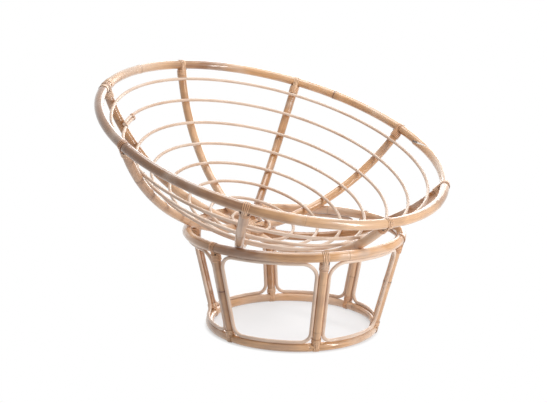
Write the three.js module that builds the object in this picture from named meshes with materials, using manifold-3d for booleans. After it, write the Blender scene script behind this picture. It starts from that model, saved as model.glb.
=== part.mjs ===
// Rattan papasan chair without its cushion: a drum-shaped pole base, and a bowl of ribs and hoops
// that rests by its own weight in the base's top ring and rocks in it.
// Millimetres, +Z up, front towards -Y, origin on the floor under the middle of the whole chair.

import * as THREE from 'three';
import { mergeVertices } from 'three/addons/utils/BufferGeometryUtils.js';
import Module from 'manifold-3d';

const wasm = await Module();
wasm.setup();

// Base sizes
const TOP_RING_RADIUS = 329;
const TOP_RING_POLE = 29;
const TOP_RING_HEIGHT = 303;
const FOOT_RING_RADIUS = 257;
const FOOT_RING_POLE = 26;
const POST_POLE = 25;
const PANEL_CANE = 11;
const PANEL_TOP_BEND = 42;
const PANEL_FOOT_BEND = 32;

// Bowl sizes: the ribs lie on a sphere, and the rim is one of its circles
const RIM_RADIUS = 545;
const BOWL_DEPTH = 327;
const RIM_POLE = 29;
const RIB_POLE = 28;
const HOOP_ROD = 10;
const FIRST_HOOP_DROP = 50;
const LAST_HOOP_RADIUS = 61;
const HOOP_OVERLAP = 92;
const SCARF_LENGTH = 95;

// Peel: the flat strips that bind each joint
const PEEL_WIDTH = 4.2;
const SADDLE_PEEL_WIDTH = 6;
const PEEL_THICKNESS = 1;
const PEEL_GROOVE = 0.45;
const PEEL_SPACE = 0.6;
const PEEL_BITE = 0.2;
const HUB_LASH_REACH = 50;
const HUB_PEEL_WIDTH = 5;

// Clearances: between pieces that touch, and how far a cutter runs past what it cuts
const CLEAR = 0.3;
const OVERRUN = 4;

// Counts and angles
const DEGREE = Math.PI / 180;
const POST_COUNT = 6;
const RIB_COUNT = 8;
const HOOP_COUNT = 8;
const TILT = 18.9 * DEGREE;
const BOWL_TURN = -6 * DEGREE;
const SADDLE_STRIPS = 3;
const POST_TURNS = 4;
const FOOT_TURNS = 2.75;
const RIB_TURNS = 3;
const SPLICE_TURNS = 3;
const SPLICED_HOOP = 2;
const SPLICED_JOINT = 8;
const SCARF_TURN_SHARE = 0.22;
const HOOP_SPLICE_SHARE = 0.7;
const NECK_SHARE = 0.5;

// A coped end's horns stop short of the middle of the pole that they clasp
const COPE_STOP_SHARE = 0.45;

// Facets: every ring has a straight length in the middle of which each joint sits
const POLE_SIDES = 8;
const STRUT_SIDES = 8;
const ROD_SIDES = 6;
const TOP_RING_STEPS = 8 * POST_COUNT;
const FOOT_RING_STEPS = 8 * POST_COUNT;
const RIM_STEPS = 8 * RIB_COUNT;
const RIB_STEPS = 14;
const BEND_STEPS = 4;

const FRONT = -90 * DEGREE;
const BACK = 90 * DEGREE;
const POST_STEP = 360 * DEGREE / POST_COUNT;
const RIB_STEP = 360 * DEGREE / RIB_COUNT;

const MATERIALS = {
  pole: new THREE.MeshStandardMaterial({ color: 0xcf9f6b, roughness: 0.35, metalness: 0 }),
  rib: new THREE.MeshStandardMaterial({ color: 0xd0a070, roughness: 0.38, metalness: 0 }),
  rod: new THREE.MeshStandardMaterial({ color: 0xe4cba6, roughness: 0.45, metalness: 0 }),
  peel: new THREE.MeshStandardMaterial({ color: 0xc79a63, roughness: 0.5, metalness: 0 })
};

// Solids and booleans

function geometryOf(positions, indices) {
  const geometry = new THREE.BufferGeometry();
  geometry.setAttribute('position', new THREE.Float32BufferAttribute(positions, 3));
  geometry.setIndex(indices);
  return geometry;
}

function solidOf(geometry) {
  const bare = geometry.clone();
  bare.deleteAttribute('normal');
  bare.deleteAttribute('uv');
  const merged = mergeVertices(bare);
  return new wasm.Manifold(new wasm.Mesh({
    numProp: 3,
    vertProperties: new Float32Array(merged.attributes.position.array),
    triVerts: new Uint32Array(merged.index.array)
  }));
}

function geometryFrom(solid) {
  const mesh = solid.getMesh();
  return geometryOf(Array.from(mesh.vertProperties), Array.from(mesh.triVerts));
}

function cut(geometry, ...cutters) {
  let solid = solidOf(geometry);
  for (const cutter of cutters) {
    solid = solid.subtract(solidOf(cutter));
  }
  return geometryFrom(solid);
}

function join(...geometries) {
  let solid = solidOf(geometries[0]);
  for (const geometry of geometries.slice(1)) {
    solid = solid.add(solidOf(geometry));
  }
  return geometryFrom(solid);
}

// Sweeps: a section, a list of points (out, side), is carried along stations { at, out, wide, cap }

function polygon(radius, sides, turn = 0) {
  const points = [];
  for (let i = 0; i < sides; i++) {
    const angle = turn + i * 2 * Math.PI / sides;
    points.push(new THREE.Vector2(radius * Math.cos(angle), radius * Math.sin(angle)));
  }
  return points;
}

function sweep(stations, section, closed = false) {
  const count = stations.length;
  const size = section.length;
  const positions = [];
  const indices = [];
  for (let k = 0; k < count; k++) {
    const last = closed ? (k + count - 1) % count : Math.max(k - 1, 0);
    const next = closed ? (k + 1) % count : Math.min(k + 1, count - 1);
    const along = stations[next].at.clone().sub(stations[last].at).normalize();
    const side = along.clone().cross(stations[k].out).normalize();
    const out = side.clone().cross(along);
    const wide = stations[k].wide ?? 1;
    const cap = stations[k].cap ?? Infinity;
    for (const point of section) {
      const place = stations[k].at.clone();
      place.addScaledVector(out, Math.min(point.x, cap)).addScaledVector(side, point.y * wide);
      positions.push(place.x, place.y, place.z);
    }
  }
  for (let k = 0; k < (closed ? count : count - 1); k++) {
    const here = k * size;
    const there = ((k + 1) % count) * size;
    for (let i = 0; i < size; i++) {
      const j = (i + 1) % size;
      indices.push(here + i, here + j, there + j, here + i, there + j, there + i);
    }
  }
  if (!closed) {
    const end = (count - 1) * size;
    for (const [a, b, c] of THREE.ShapeUtils.triangulateShape(section, [])) {
      indices.push(a, c, b, end + a, end + b, end + c);
    }
  }
  return geometryOf(positions, indices);
}

// Meridian plane: r away from the axis and z along it, turned to an azimuth

function meridian(azimuth, r, z) {
  return new THREE.Vector3(r * Math.cos(azimuth), r * Math.sin(azimuth), z);
}

function tangent(azimuth) {
  return new THREE.Vector3(-Math.sin(azimuth), Math.cos(azimuth), 0);
}

// A bent ring's facets touch the true circle at their middles, with one middle at azimuth start
function facetRadius(ring, azimuth) {
  const step = 2 * Math.PI / ring.steps;
  const turned = (azimuth - ring.start) / step;
  return ring.radius / Math.cos((turned - Math.round(turned)) * step);
}

// A strut's flats lie on its round pole, and one of them faces outwards
function strutSection(pole, grow = 0) {
  const facet = Math.PI / STRUT_SIDES;
  return polygon((pole / 2 + grow) / Math.cos(facet), STRUT_SIDES, facet);
}

function ringStations(ring, from = ring.start, to = ring.start + 2 * Math.PI) {
  const step = 2 * Math.PI / ring.steps;
  const closed = to - from >= 2 * Math.PI;
  const azimuths = closed ? [] : [from];
  for (let k = Math.floor((from - ring.start) / step); ; k++) {
    const corner = ring.start + (k + 1 / 2) * step;
    if (corner >= to) {
      break;
    }
    if (corner > from) {
      azimuths.push(corner);
    }
  }
  if (!closed) {
    azimuths.push(to);
  }
  return azimuths.map((azimuth) => ({
    at: meridian(azimuth, facetRadius(ring, azimuth), ring.height),
    out: meridian(azimuth, 1, 0)
  }));
}

// Seen along the sweep, a ring's section lies mirrored in its meridian plane
function ringSection(ring, grow = 0) {
  const radius = ring.pole / 2 + grow / Math.cos(Math.PI / ring.sides);
  return polygon(radius, ring.sides, -ring.turn);
}

function ringPole(ring, from, to) {
  const whole = from === undefined;
  return sweep(whole ? ringStations(ring) : ringStations(ring, from, to), ringSection(ring), whole);
}

// A straight stretch of the ring's own section, grown by the clearance, that copes a strut's end
function coper(ring, azimuth, reach) {
  const at = meridian(azimuth, ring.radius, ring.height);
  const out = meridian(azimuth, 1, 0);
  const ends = [-reach, reach].map((far) => ({
    at: at.clone().addScaledVector(tangent(azimuth), far),
    out
  }));
  return sweep(ends, ringSection(ring, CLEAR));
}

// Peel bindings

function bandSection(strips) {
  const half = strips * SADDLE_PEEL_WIDTH / 2;
  const points = [new THREE.Vector2(-PEEL_THICKNESS / 2, -half)];
  for (let i = 0; i < strips; i++) {
    const edge = i * SADDLE_PEEL_WIDTH - half;
    points.push(new THREE.Vector2(PEEL_THICKNESS / 2 - PEEL_GROOVE, edge));
    points.push(new THREE.Vector2(PEEL_THICKNESS / 2, edge + SADDLE_PEEL_WIDTH / 2));
  }
  points.push(new THREE.Vector2(PEEL_THICKNESS / 2 - PEEL_GROOVE, half));
  points.push(new THREE.Vector2(-PEEL_THICKNESS / 2, half));
  return points;
}

// A single strip is flat beneath and rounded to a ridge on top
function stripSection(width) {
  const half = PEEL_THICKNESS / 2;
  return [
    new THREE.Vector2(-half, -width / 2), new THREE.Vector2(half, 0), new THREE.Vector2(-half, width / 2)
  ];
}

const leastGaps = [];

// One unbroken strip wound round a pole; place(share, turned) gives its middle and its outward way
function winding(name, turns, steps, place) {
  const stations = [];
  for (let k = 0; k <= turns * steps; k++) {
    stations.push(place(k / (turns * steps), (k + 1 / 2) / steps * 2 * Math.PI));
  }
  let least = Infinity;
  for (let k = 0; k < stations.length; k++) {
    for (let j = k + steps - 1; j < stations.length; j++) {
      least = Math.min(least, stations[k].at.distanceTo(stations[j].at) - PEEL_WIDTH);
    }
  }
  leastGaps.push([name, least]);
  return sweep(stations, stripSection(PEEL_WIDTH));
}

// The strips' path round a ring, from a strut's one side to its other: angles run from the strut
// (0) outwards and over the ring (180) to the strut's inner side (360), in the meridian plane
function saddlePath(ring, azimuth, strut, from, to) {
  const strutOffset = strut.pole / 2 + CLEAR + PEEL_THICKNESS / 2;
  const ringOffset = ring.pole / 2 + (CLEAR + PEEL_THICKNESS / 2) / Math.cos(Math.PI / ring.sides);
  const away = Math.atan2(strut.way.y, strut.way.x);
  const spin = strut.outward;
  const facet = 2 * Math.PI / ring.sides;
  const meet = Math.asin(strutOffset / ringOffset);
  const flat = (angle) => new THREE.Vector2(Math.cos(away + spin * angle), Math.sin(away + spin * angle));
  const place = (angle, reach) => flat(angle).multiplyScalar(reach);
  const stations = [];
  const add = (point, normal, wide, cap) => stations.push({
    at: meridian(azimuth, ring.radius + point.x, ring.height + point.y),
    out: meridian(azimuth, normal.x, normal.y),
    wide,
    cap
  });
  const flattened = PEEL_THICKNESS / 2 - PEEL_GROOVE;
  const neck = (side) => {
    const normal = flat(side * Math.PI / 2);
    const foot = normal.clone().multiplyScalar(strutOffset).addScaledVector(strut.way, strut.stripEnd);
    add(foot, normal, NECK_SHARE, flattened);
  };
  const collar = (angle, side) => {
    const normal = flat(angle).add(flat(side * Math.PI / 2)).normalize();
    add(place(angle, ringOffset), normal, (1 + NECK_SHARE) / 2, flattened);
  };
  if (from === 0) {
    neck(1);
    collar(meet, 1);
  } else {
    add(place(from, facetReach(ring, away + spin * from, ringOffset)), flat(from), 1);
  }
  const corners = [];
  for (let k = 0; k < ring.sides; k++) {
    const angle = THREE.MathUtils.euclideanModulo(spin * (ring.turn + k * facet - away), 2 * Math.PI);
    const low = from === 0 ? meet : from;
    const high = to === 2 * Math.PI ? 2 * Math.PI - meet : to;
    const margin = facet / ring.sides;
    if (angle > low + margin && angle < high - margin) {
      corners.push(angle);
    }
  }
  corners.sort((a, b) => a - b);
  for (const angle of corners) {
    add(place(angle, ringOffset), flat(angle), 1);
  }
  if (to === 2 * Math.PI) {
    collar(2 * Math.PI - meet, -1);
    neck(-1);
  } else {
    add(place(to, facetReach(ring, away + spin * to, ringOffset)), flat(to), 1);
  }
  return stations;
}

// How far a ring's faceted outline, offset to the strips' middle, lies from its centre
function facetReach(ring, angle, offset) {
  const facet = 2 * Math.PI / ring.sides;
  const turned = (angle - ring.turn) / facet - 1 / 2;
  return offset * Math.cos(facet / 2) / Math.cos((turned - Math.round(turned)) * facet);
}

// Strips over the ring, held by a winding round the strut's end, as one bound piece
function binding(name, ring, azimuth, strut, strips, turns, spans) {
  const centre = meridian(azimuth, ring.radius, ring.height);
  const way = meridian(azimuth, strut.way.x, strut.way.y);
  const side = tangent(azimuth);
  const normal = side.clone().cross(way);
  const over = strut.pole / 2 + CLEAR + 3 * PEEL_THICKNESS / 2 - PEEL_GROOVE - PEEL_BITE;
  const radius = over / Math.cos(Math.PI / STRUT_SIDES);
  const wound = winding(name, turns, STRUT_SIDES, (share, turned) => {
    const out = normal.clone().multiplyScalar(Math.cos(turned)).addScaledVector(side, Math.sin(turned));
    const far = THREE.MathUtils.lerp(strut.wrapStart, strut.wrapEnd, share);
    return { at: centre.clone().addScaledVector(way, far).addScaledVector(out, radius), out };
  });
  const bands = spans.map(([from, to]) => sweep(
    saddlePath(ring, azimuth, strut, from, to), bandSection(strips)));
  return join(wound, ...bands);
}

// A strut's end as a binding sees it: its way off the ring and where the winding starts and ends
function strutAt(ring, pole, way, outward, turns) {
  const pitch = PEEL_WIDTH + PEEL_SPACE;
  const wrapStart = ring.pole / 2 + CLEAR + PEEL_WIDTH / 2 + PEEL_SPACE;
  return {
    pole, way, outward, wrapStart,
    wrapEnd: wrapStart + turns * pitch,
    stripEnd: wrapStart + pitch
  };
}

// Base

const FOOT_RING_HEIGHT = FOOT_RING_POLE / 2 * Math.cos(Math.PI / POLE_SIDES);
// The sphere that goes through the rim's middle and has the bowl's depth
const BOWL_RADIUS = (RIM_RADIUS ** 2 + BOWL_DEPTH ** 2) / (2 * BOWL_DEPTH);

// The bowl's ribs come down on the top ring's inner shoulder
const SEAT_DISTANCE = BOWL_RADIUS + RIB_POLE / 2 + CLEAR + TOP_RING_POLE / 2;
const BOWL_RISE = Math.sqrt(SEAT_DISTANCE ** 2 - TOP_RING_RADIUS ** 2);
const SEAT_ANGLE = Math.atan2(BOWL_RISE, -TOP_RING_RADIUS);

const topRing = {
  radius: TOP_RING_RADIUS, height: TOP_RING_HEIGHT, pole: TOP_RING_POLE,
  start: FRONT + POST_STEP / 2, steps: TOP_RING_STEPS, sides: POLE_SIDES, turn: SEAT_ANGLE
};
const footRing = {
  radius: FOOT_RING_RADIUS, height: FOOT_RING_HEIGHT, pole: FOOT_RING_POLE,
  start: FRONT + POST_STEP / 2, steps: FOOT_RING_STEPS, sides: POLE_SIDES,
  turn: FRONT + Math.PI / POLE_SIDES
};

const POST_SPAN = new THREE.Vector2(TOP_RING_RADIUS - FOOT_RING_RADIUS, TOP_RING_HEIGHT - FOOT_RING_HEIGHT);
const POST_LENGTH = POST_SPAN.length();
const POST_WAY = POST_SPAN.clone().normalize();

function post(azimuth) {
  const out = meridian(azimuth, POST_WAY.y, -POST_WAY.x);
  const stations = [[footRing, 1], [topRing, -1]].map(([ring, side]) => {
    const stop = POST_WAY.clone().multiplyScalar(side * COPE_STOP_SHARE * ring.pole / 2);
    return { at: meridian(azimuth, ring.radius + stop.x, ring.height + stop.y), out };
  });
  const reach = POST_POLE / 2 + OVERRUN;
  return cut(sweep(stations, strutSection(POST_POLE)),
    coper(topRing, azimuth, reach), coper(footRing, azimuth, reach));
}

// Corners of an outline rounded by tangent arcs
function roundedOutline(corners, radii) {
  const points = [];
  for (let i = 0; i < corners.length; i++) {
    const corner = corners[i];
    const back = corners[(i + corners.length - 1) % corners.length].clone().sub(corner).normalize();
    const ahead = corners[(i + 1) % corners.length].clone().sub(corner).normalize();
    const half = Math.acos(back.dot(ahead)) / 2;
    const middle = back.clone().add(ahead).normalize();
    const centre = corner.clone().addScaledVector(middle, radii[i] / Math.sin(half));
    const start = corner.clone().addScaledVector(back, radii[i] / Math.tan(half)).sub(centre);
    const sweepAngle = Math.PI - 2 * half;
    for (let k = 0; k <= BEND_STEPS; k++) {
      points.push(start.clone().rotateAround(new THREE.Vector2(), sweepAngle * k / BEND_STEPS).add(centre));
    }
  }
  return points;
}

// One cane bent to a rounded loop that lines a panel: s runs round the drum, q up its slope
function panelCane(azimuth) {
  const half = PANEL_CANE / 2;
  const low = FOOT_RING_POLE / 2 + CLEAR + half;
  const high = POST_LENGTH - TOP_RING_POLE / 2 - CLEAR - half;
  const flare = Math.atan(POST_WAY.x * POST_STEP / 2);
  const inset = (POST_POLE / 2 + CLEAR + half) / Math.cos(flare);
  const radiusAt = (q) => FOOT_RING_RADIUS + q * POST_WAY.x;
  const width = (q) => radiusAt(q) * POST_STEP / 2 - inset;
  const corners = [
    new THREE.Vector2(-width(low), low), new THREE.Vector2(width(low), low),
    new THREE.Vector2(width(high), high), new THREE.Vector2(-width(high), high)
  ];
  const outline = roundedOutline(corners, [PANEL_FOOT_BEND, PANEL_FOOT_BEND, PANEL_TOP_BEND, PANEL_TOP_BEND]);
  const stations = [];
  outline.forEach((point, i) => {
    const next = outline[(i + 1) % outline.length];
    const level = Math.abs(next.y - point.y) < Math.abs(next.x - point.x);
    const straight = (i + 1) % (BEND_STEPS + 1) === 0;
    const parts = straight && level ? BEND_STEPS : 1;
    for (let k = 0; k < parts; k++) {
      const spot = point.clone().lerp(next, k / parts);
      const turned = azimuth + spot.x / radiusAt(spot.y);
      stations.push({
        at: meridian(turned, radiusAt(spot.y), FOOT_RING_HEIGHT + spot.y * POST_WAY.y),
        out: meridian(turned, POST_WAY.y, -POST_WAY.x)
      });
    }
  });
  return sweep(stations, polygon(half, ROD_SIDES), true);
}

// The ribs rock over the top ring, so its strips stop either side of the line they touch
function topBinding(name, azimuth) {
  const strut = strutAt(topRing, POST_POLE, POST_WAY.clone().negate(), 1, POST_TURNS);
  const outer = TOP_RING_POLE / 2 + (CLEAR + PEEL_THICKNESS) / Math.cos(Math.PI / POLE_SIDES);
  const reach = SEAT_DISTANCE - TOP_RING_POLE / 2;
  const share = (SEAT_DISTANCE ** 2 + outer ** 2 - reach ** 2) / (2 * SEAT_DISTANCE * outer);
  const open = Math.acos(share) + Math.asin(PEEL_THICKNESS / outer) / 2;
  const away = Math.atan2(strut.way.y, strut.way.x);
  const seat = THREE.MathUtils.euclideanModulo(SEAT_ANGLE - away, 2 * Math.PI);
  return binding(name, topRing, azimuth, strut, SADDLE_STRIPS, POST_TURNS,
    [[0, seat - open], [seat + open, 2 * Math.PI]]);
}

// The foot ring stands on the floor, so its strips stop short of its underside
function footBinding(name, azimuth) {
  const strut = strutAt(footRing, POST_POLE, POST_WAY, -1, FOOT_TURNS);
  const outer = FOOT_RING_POLE / 2 + (CLEAR + PEEL_THICKNESS) / Math.cos(Math.PI / POLE_SIDES);
  const lowest = Math.asin((FOOT_RING_HEIGHT - CLEAR - PEEL_THICKNESS / 2) / outer);
  const away = Math.atan2(strut.way.y, strut.way.x);
  const outside = THREE.MathUtils.euclideanModulo(away + lowest, 2 * Math.PI);
  const inside = THREE.MathUtils.euclideanModulo(away - Math.PI + (Math.PI * 2 - lowest), 2 * Math.PI);
  return binding(name, footRing, azimuth, strut, SADDLE_STRIPS, FOOT_TURNS,
    [[0, outside], [inside, 2 * Math.PI]]);
}

// Bowl: its own frame has its origin at the sphere's centre and +Z along the bowl's axis

const RIM_DEPTH = BOWL_RADIUS - BOWL_DEPTH;
const RIM_ANGLE = Math.atan2(RIM_RADIUS, RIM_DEPTH);
const RIB_TURN_STEP = RIM_ANGLE / RIB_STEPS;
const RIB_INNER = BOWL_RADIUS * Math.cos(RIB_TURN_STEP / 2) - RIB_POLE / 2;
const HOOP_RADIUS = RIB_INNER - CLEAR - HOOP_ROD / 2;

// Where a rib's middle lies, its angle counted from the bowl's lowest point
function ribPoint(angle) {
  return new THREE.Vector2(BOWL_RADIUS * Math.sin(angle), -BOWL_RADIUS * Math.cos(angle));
}

const RIM_STRUT_WAY = ribPoint(RIM_ANGLE - RIB_TURN_STEP).sub(ribPoint(RIM_ANGLE)).normalize();
const rim = {
  radius: RIM_RADIUS, height: -RIM_DEPTH, pole: RIM_POLE,
  start: BACK, steps: RIM_STEPS, sides: POLE_SIDES,
  turn: Math.atan2(-RIM_STRUT_WAY.y, -RIM_STRUT_WAY.x)
};

function ribAzimuth(number) {
  return BACK - (number - 1) * RIB_STEP;
}

function ribStations(azimuth, from, to, steps) {
  const stations = [];
  for (let k = 0; k <= steps; k++) {
    const angle = from + (to - from) * k / steps;
    const place = ribPoint(angle);
    stations.push({
      at: meridian(azimuth, place.x, place.y),
      out: meridian(azimuth, place.x / BOWL_RADIUS, place.y / BOWL_RADIUS)
    });
  }
  return stations;
}

function ribSolid(azimuth, from, grow = 0) {
  const steps = from < 0 ? 2 * RIB_STEPS : RIB_STEPS;
  const stations = ribStations(azimuth, from, RIM_ANGLE, steps);
  const stop = COPE_STOP_SHARE * RIM_POLE / 2 / (2 * BOWL_RADIUS * Math.sin(RIB_TURN_STEP / 2));
  stations[steps].at.lerp(stations[steps - 1].at, stop);
  if (from < 0) {
    stations[0].at.lerp(stations[1].at, stop);
  }
  return sweep(stations, strutSection(RIB_POLE, grow));
}

// One rib runs through from back to front; the others stop against it and against each other
function longRib() {
  const reach = RIB_POLE / 2 + OVERRUN;
  return cut(ribSolid(ribAzimuth(1), -RIM_ANGLE),
    coper(rim, ribAzimuth(1), reach), coper(rim, ribAzimuth(1) + Math.PI, reach));
}

function shortRib(number) {
  const azimuth = ribAzimuth(number);
  const cutters = [coper(rim, azimuth, RIB_POLE / 2 + OVERRUN), ribSolid(ribAzimuth(1), -RIM_ANGLE, CLEAR)];
  const square = (number - 1) % (RIB_COUNT / 4) === 0;
  if (!square) {
    cutters.push(ribSolid(ribAzimuth(1) - Math.PI / 2, 0, CLEAR));
    cutters.push(ribSolid(ribAzimuth(1) + Math.PI / 2, 0, CLEAR));
  }
  return cut(ribSolid(azimuth, 0), ...cutters);
}

// Hoops sit inside the ribs, from just under the rim down to the hub
const FIRST_HOOP_ANGLE = RIM_ANGLE - FIRST_HOOP_DROP / HOOP_RADIUS;
const LAST_HOOP_ANGLE = Math.asin(LAST_HOOP_RADIUS / HOOP_RADIUS);
const HOOP_STEP_ANGLE = (FIRST_HOOP_ANGLE - LAST_HOOP_ANGLE) / (HOOP_COUNT - 1);

function hoopRing(number) {
  const angle = FIRST_HOOP_ANGLE - (number - 1) * HOOP_STEP_ANGLE;
  const radius = HOOP_RADIUS * Math.sin(angle);
  return {
    radius,
    height: -HOOP_RADIUS * Math.cos(angle),
    pole: HOOP_ROD,
    start: BACK,
    steps: RIB_COUNT * Math.max(1, Math.round(4 * Math.sqrt(radius / RIM_RADIUS))),
    sides: ROD_SIDES,
    turn: angle - Math.PI / 2
  };
}

// The spliced hoop's ends lie side by side, so the rod climbs by its own thickness in one round
function splicedHoop(number) {
  const ring = hoopRing(number);
  const middle = FIRST_HOOP_ANGLE - (number - 1) * HOOP_STEP_ANGLE;
  const lap = HOOP_OVERLAP / ring.radius;
  const climb = (HOOP_ROD + CLEAR) / HOOP_RADIUS / (2 * Math.PI);
  const from = ribAzimuth(SPLICED_JOINT) - HOOP_SPLICE_SHARE * lap;
  const to = from + lap + 2 * Math.PI;
  const step = 2 * Math.PI / ring.steps;
  const azimuths = [from];
  for (let k = Math.ceil((from - ring.start) / step - 1 / 2); ring.start + (k + 1 / 2) * step < to; k++) {
    azimuths.push(ring.start + (k + 1 / 2) * step);
  }
  azimuths.push(to);
  const stations = azimuths.map((azimuth) => {
    const angle = middle + (azimuth - (from + to) / 2) * climb;
    const stretch = facetRadius(ring, azimuth) / ring.radius;
    return {
      at: meridian(azimuth, HOOP_RADIUS * Math.sin(angle) * stretch, -HOOP_RADIUS * Math.cos(angle)),
      out: meridian(azimuth, Math.sin(angle), -Math.cos(angle))
    };
  });
  return sweep(stations, polygon(HOOP_ROD / 2, ROD_SIDES));
}

// The rim is two bent poles, scarfed beside rib 3 and under the long wrap at the spliced joint
const SCARF_HALF = SCARF_LENGTH / 2 / RIM_RADIUS;
const SCARF_AZIMUTH = ribAzimuth(3) - SCARF_TURN_SHARE * RIB_STEP;
const SPLICE_AZIMUTH = ribAzimuth(SPLICED_JOINT);

// A block that takes one side of the slanting cut; side 1 leaves the lower half, -1 the upper
function scarfCutter(azimuth, side) {
  const slope = Math.atan2(RIM_POLE, SCARF_LENGTH);
  const depth = RIM_POLE + OVERRUN;
  const block = new THREE.BoxGeometry(2 * RIM_POLE, SCARF_LENGTH + 4 * OVERRUN, depth);
  block.translate(0, 0, side * (depth - CLEAR) / 2);
  block.rotateX(-slope);
  block.rotateZ(azimuth);
  const centre = meridian(azimuth, RIM_RADIUS, -RIM_DEPTH);
  block.translate(centre.x, centre.y, centre.z);
  return block;
}

function rimPole(from, to) {
  const pole = ringPole(rim, from - SCARF_HALF, to + SCARF_HALF);
  return cut(pole, scarfCutter(from, -1), scarfCutter(to, 1));
}

function rimBinding(name, number) {
  const strut = strutAt(rim, RIB_POLE, RIM_STRUT_WAY, 1, RIB_TURNS);
  return binding(name, rim, ribAzimuth(number), strut, SADDLE_STRIPS, RIB_TURNS, [[0, 2 * Math.PI]]);
}

// Close turns round the rim on one side of the spliced joint, over the scarf
function spliceWrap(name, side) {
  const inner = RIB_POLE / 2 + CLEAR + PEEL_WIDTH / 2;
  const outer = inner + SPLICE_TURNS * (PEEL_WIDTH + PEEL_SPACE);
  const reach = RIM_POLE / 2 + (CLEAR + PEEL_THICKNESS / 2) / Math.cos(Math.PI / POLE_SIDES);
  return winding(name, SPLICE_TURNS, POLE_SIDES, (share, turned) => {
    const azimuth = SPLICE_AZIMUTH + side * THREE.MathUtils.lerp(inner, outer, share) / RIM_RADIUS;
    const angle = rim.turn + turned - Math.PI / POLE_SIDES;
    const middle = facetRadius(rim, azimuth);
    return {
      at: meridian(azimuth, middle + reach * Math.cos(angle), rim.height + reach * Math.sin(angle)),
      out: meridian(azimuth, Math.cos(angle), Math.sin(angle))
    };
  });
}

// One strip lashes the hub: over it, down between two ribs, under it and up between the next two,
// each pass on top of the last
function hubLashing() {
  const pitch = PEEL_THICKNESS + PEEL_SPACE;
  const near = RIB_POLE / 2 + CLEAR + PEEL_THICKNESS / 2;
  const bend = HUB_LASH_REACH - near / 2;
  const rise = (r) => BOWL_RADIUS - Math.sqrt(BOWL_RADIUS ** 2 - r ** 2);
  const stations = [];
  const add = (azimuth, r, z, outR, outZ) => stations.push({
    at: meridian(azimuth, r, z - BOWL_RADIUS), out: meridian(azimuth, outR, outZ)
  });
  for (let k = 0; k < RIB_COUNT / 2; k++) {
    const azimuth = BACK + (k + 1 / 2) * RIB_STEP;
    const over = near + k * pitch;
    const side = HUB_LASH_REACH + k * pitch;
    add(azimuth, -side, 0, -1, 0);
    add(azimuth, -bend, over + rise(bend), -1, 1);
    add(azimuth, 0, over, 0, 1);
    add(azimuth, bend, over + rise(bend), 1, 1);
    add(azimuth, side, 0, 1, 0);
    add(azimuth, bend, rise(bend) - over, 1, -1);
    add(azimuth + RIB_STEP / 2, 0, -over, 0, -1);
    add(azimuth + RIB_STEP, -bend, rise(bend) - over, -1, -1);
  }
  const last = RIB_COUNT / 2 * pitch;
  add(BACK + (RIB_COUNT / 2 + 1 / 2) * RIB_STEP, -HUB_LASH_REACH - last, 0, -1, 0);
  return sweep(stations, stripSection(HUB_PEEL_WIDTH));
}

// The scene: the base stands on the floor, and the bowl's group turns about the sphere's centre

const chair = new THREE.Group();
const base = new THREE.Group();
const bowl = new THREE.Group();
chair.add(base);
base.add(bowl);
base.position.y = -RIM_DEPTH * Math.sin(TILT);
bowl.position.z = TOP_RING_HEIGHT + BOWL_RISE;
bowl.rotation.set(TILT, 0, BOWL_TURN);

function place(group, name, geometry, material) {
  const flat = geometry.index ? geometry.toNonIndexed() : geometry;
  flat.computeVertexNormals();
  const mesh = new THREE.Mesh(flat, material);
  mesh.name = name;
  group.add(mesh);
}

place(base, 'top_ring', ringPole(topRing), MATERIALS.pole);
place(base, 'foot_ring', ringPole(footRing), MATERIALS.pole);
for (let k = 1; k <= POST_COUNT; k++) {
  const azimuth = FRONT + (k - 1 / 2) * POST_STEP;
  place(base, `post_${k}`, post(azimuth), MATERIALS.rib);
  place(base, `panel_cane_${k}`, panelCane(azimuth + POST_STEP / 2), MATERIALS.rod);
  place(base, `top_binding_${k}`, topBinding(`top_binding_${k}`, azimuth), MATERIALS.peel);
  place(base, `foot_binding_${k}`, footBinding(`foot_binding_${k}`, azimuth), MATERIALS.peel);
}

place(bowl, 'rim_pole_front', rimPole(SPLICE_AZIMUTH, SCARF_AZIMUTH), MATERIALS.pole);
place(bowl, 'rim_pole_back', rimPole(SCARF_AZIMUTH, SPLICE_AZIMUTH + 2 * Math.PI), MATERIALS.pole);
place(bowl, 'rib_long', longRib(), MATERIALS.rib);
for (let number = 2; number <= RIB_COUNT; number++) {
  if (number !== 1 + RIB_COUNT / 2) {
    place(bowl, `rib_${number}`, shortRib(number), MATERIALS.rib);
  }
}
for (let number = 1; number <= HOOP_COUNT; number++) {
  const hoop = number === SPLICED_HOOP ? splicedHoop(number) : ringPole(hoopRing(number));
  place(bowl, `hoop_${number}`, hoop, MATERIALS.rod);
}
for (let number = 1; number <= RIB_COUNT; number++) {
  place(bowl, `rim_binding_${number}`, rimBinding(`rim_binding_${number}`, number), MATERIALS.peel);
}
place(bowl, 'splice_wrap_1', spliceWrap('splice_wrap_1', -1), MATERIALS.peel);
place(bowl, 'splice_wrap_2', spliceWrap('splice_wrap_2', 1), MATERIALS.peel);
place(bowl, 'hub_lashing', hubLashing(), MATERIALS.peel);

const least = leastGaps.reduce((a, b) => (b[1] < a[1] ? b : a));
console.log(`least gap between the turns of a binding: ${least[1].toFixed(2)} mm, in ${least[0]}`);

export default chair;
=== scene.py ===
"""Rattan papasan chair without its cushion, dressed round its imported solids.

A bowl of ribs and hoops rests tilted in the top ring of a drum of posts. Every pole, rod and strip of
peel is a section carried along a path: the operators lay the paths out and geometry nodes sweep them.
Metres, +Z up, front towards -Y, origin on the floor under the middle of the chair.
"""

import math

import bmesh
import bpy
import numpy as np
from bpy.props import FloatProperty, FloatVectorProperty, IntProperty, PointerProperty
from mathutils import Matrix, Vector


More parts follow.
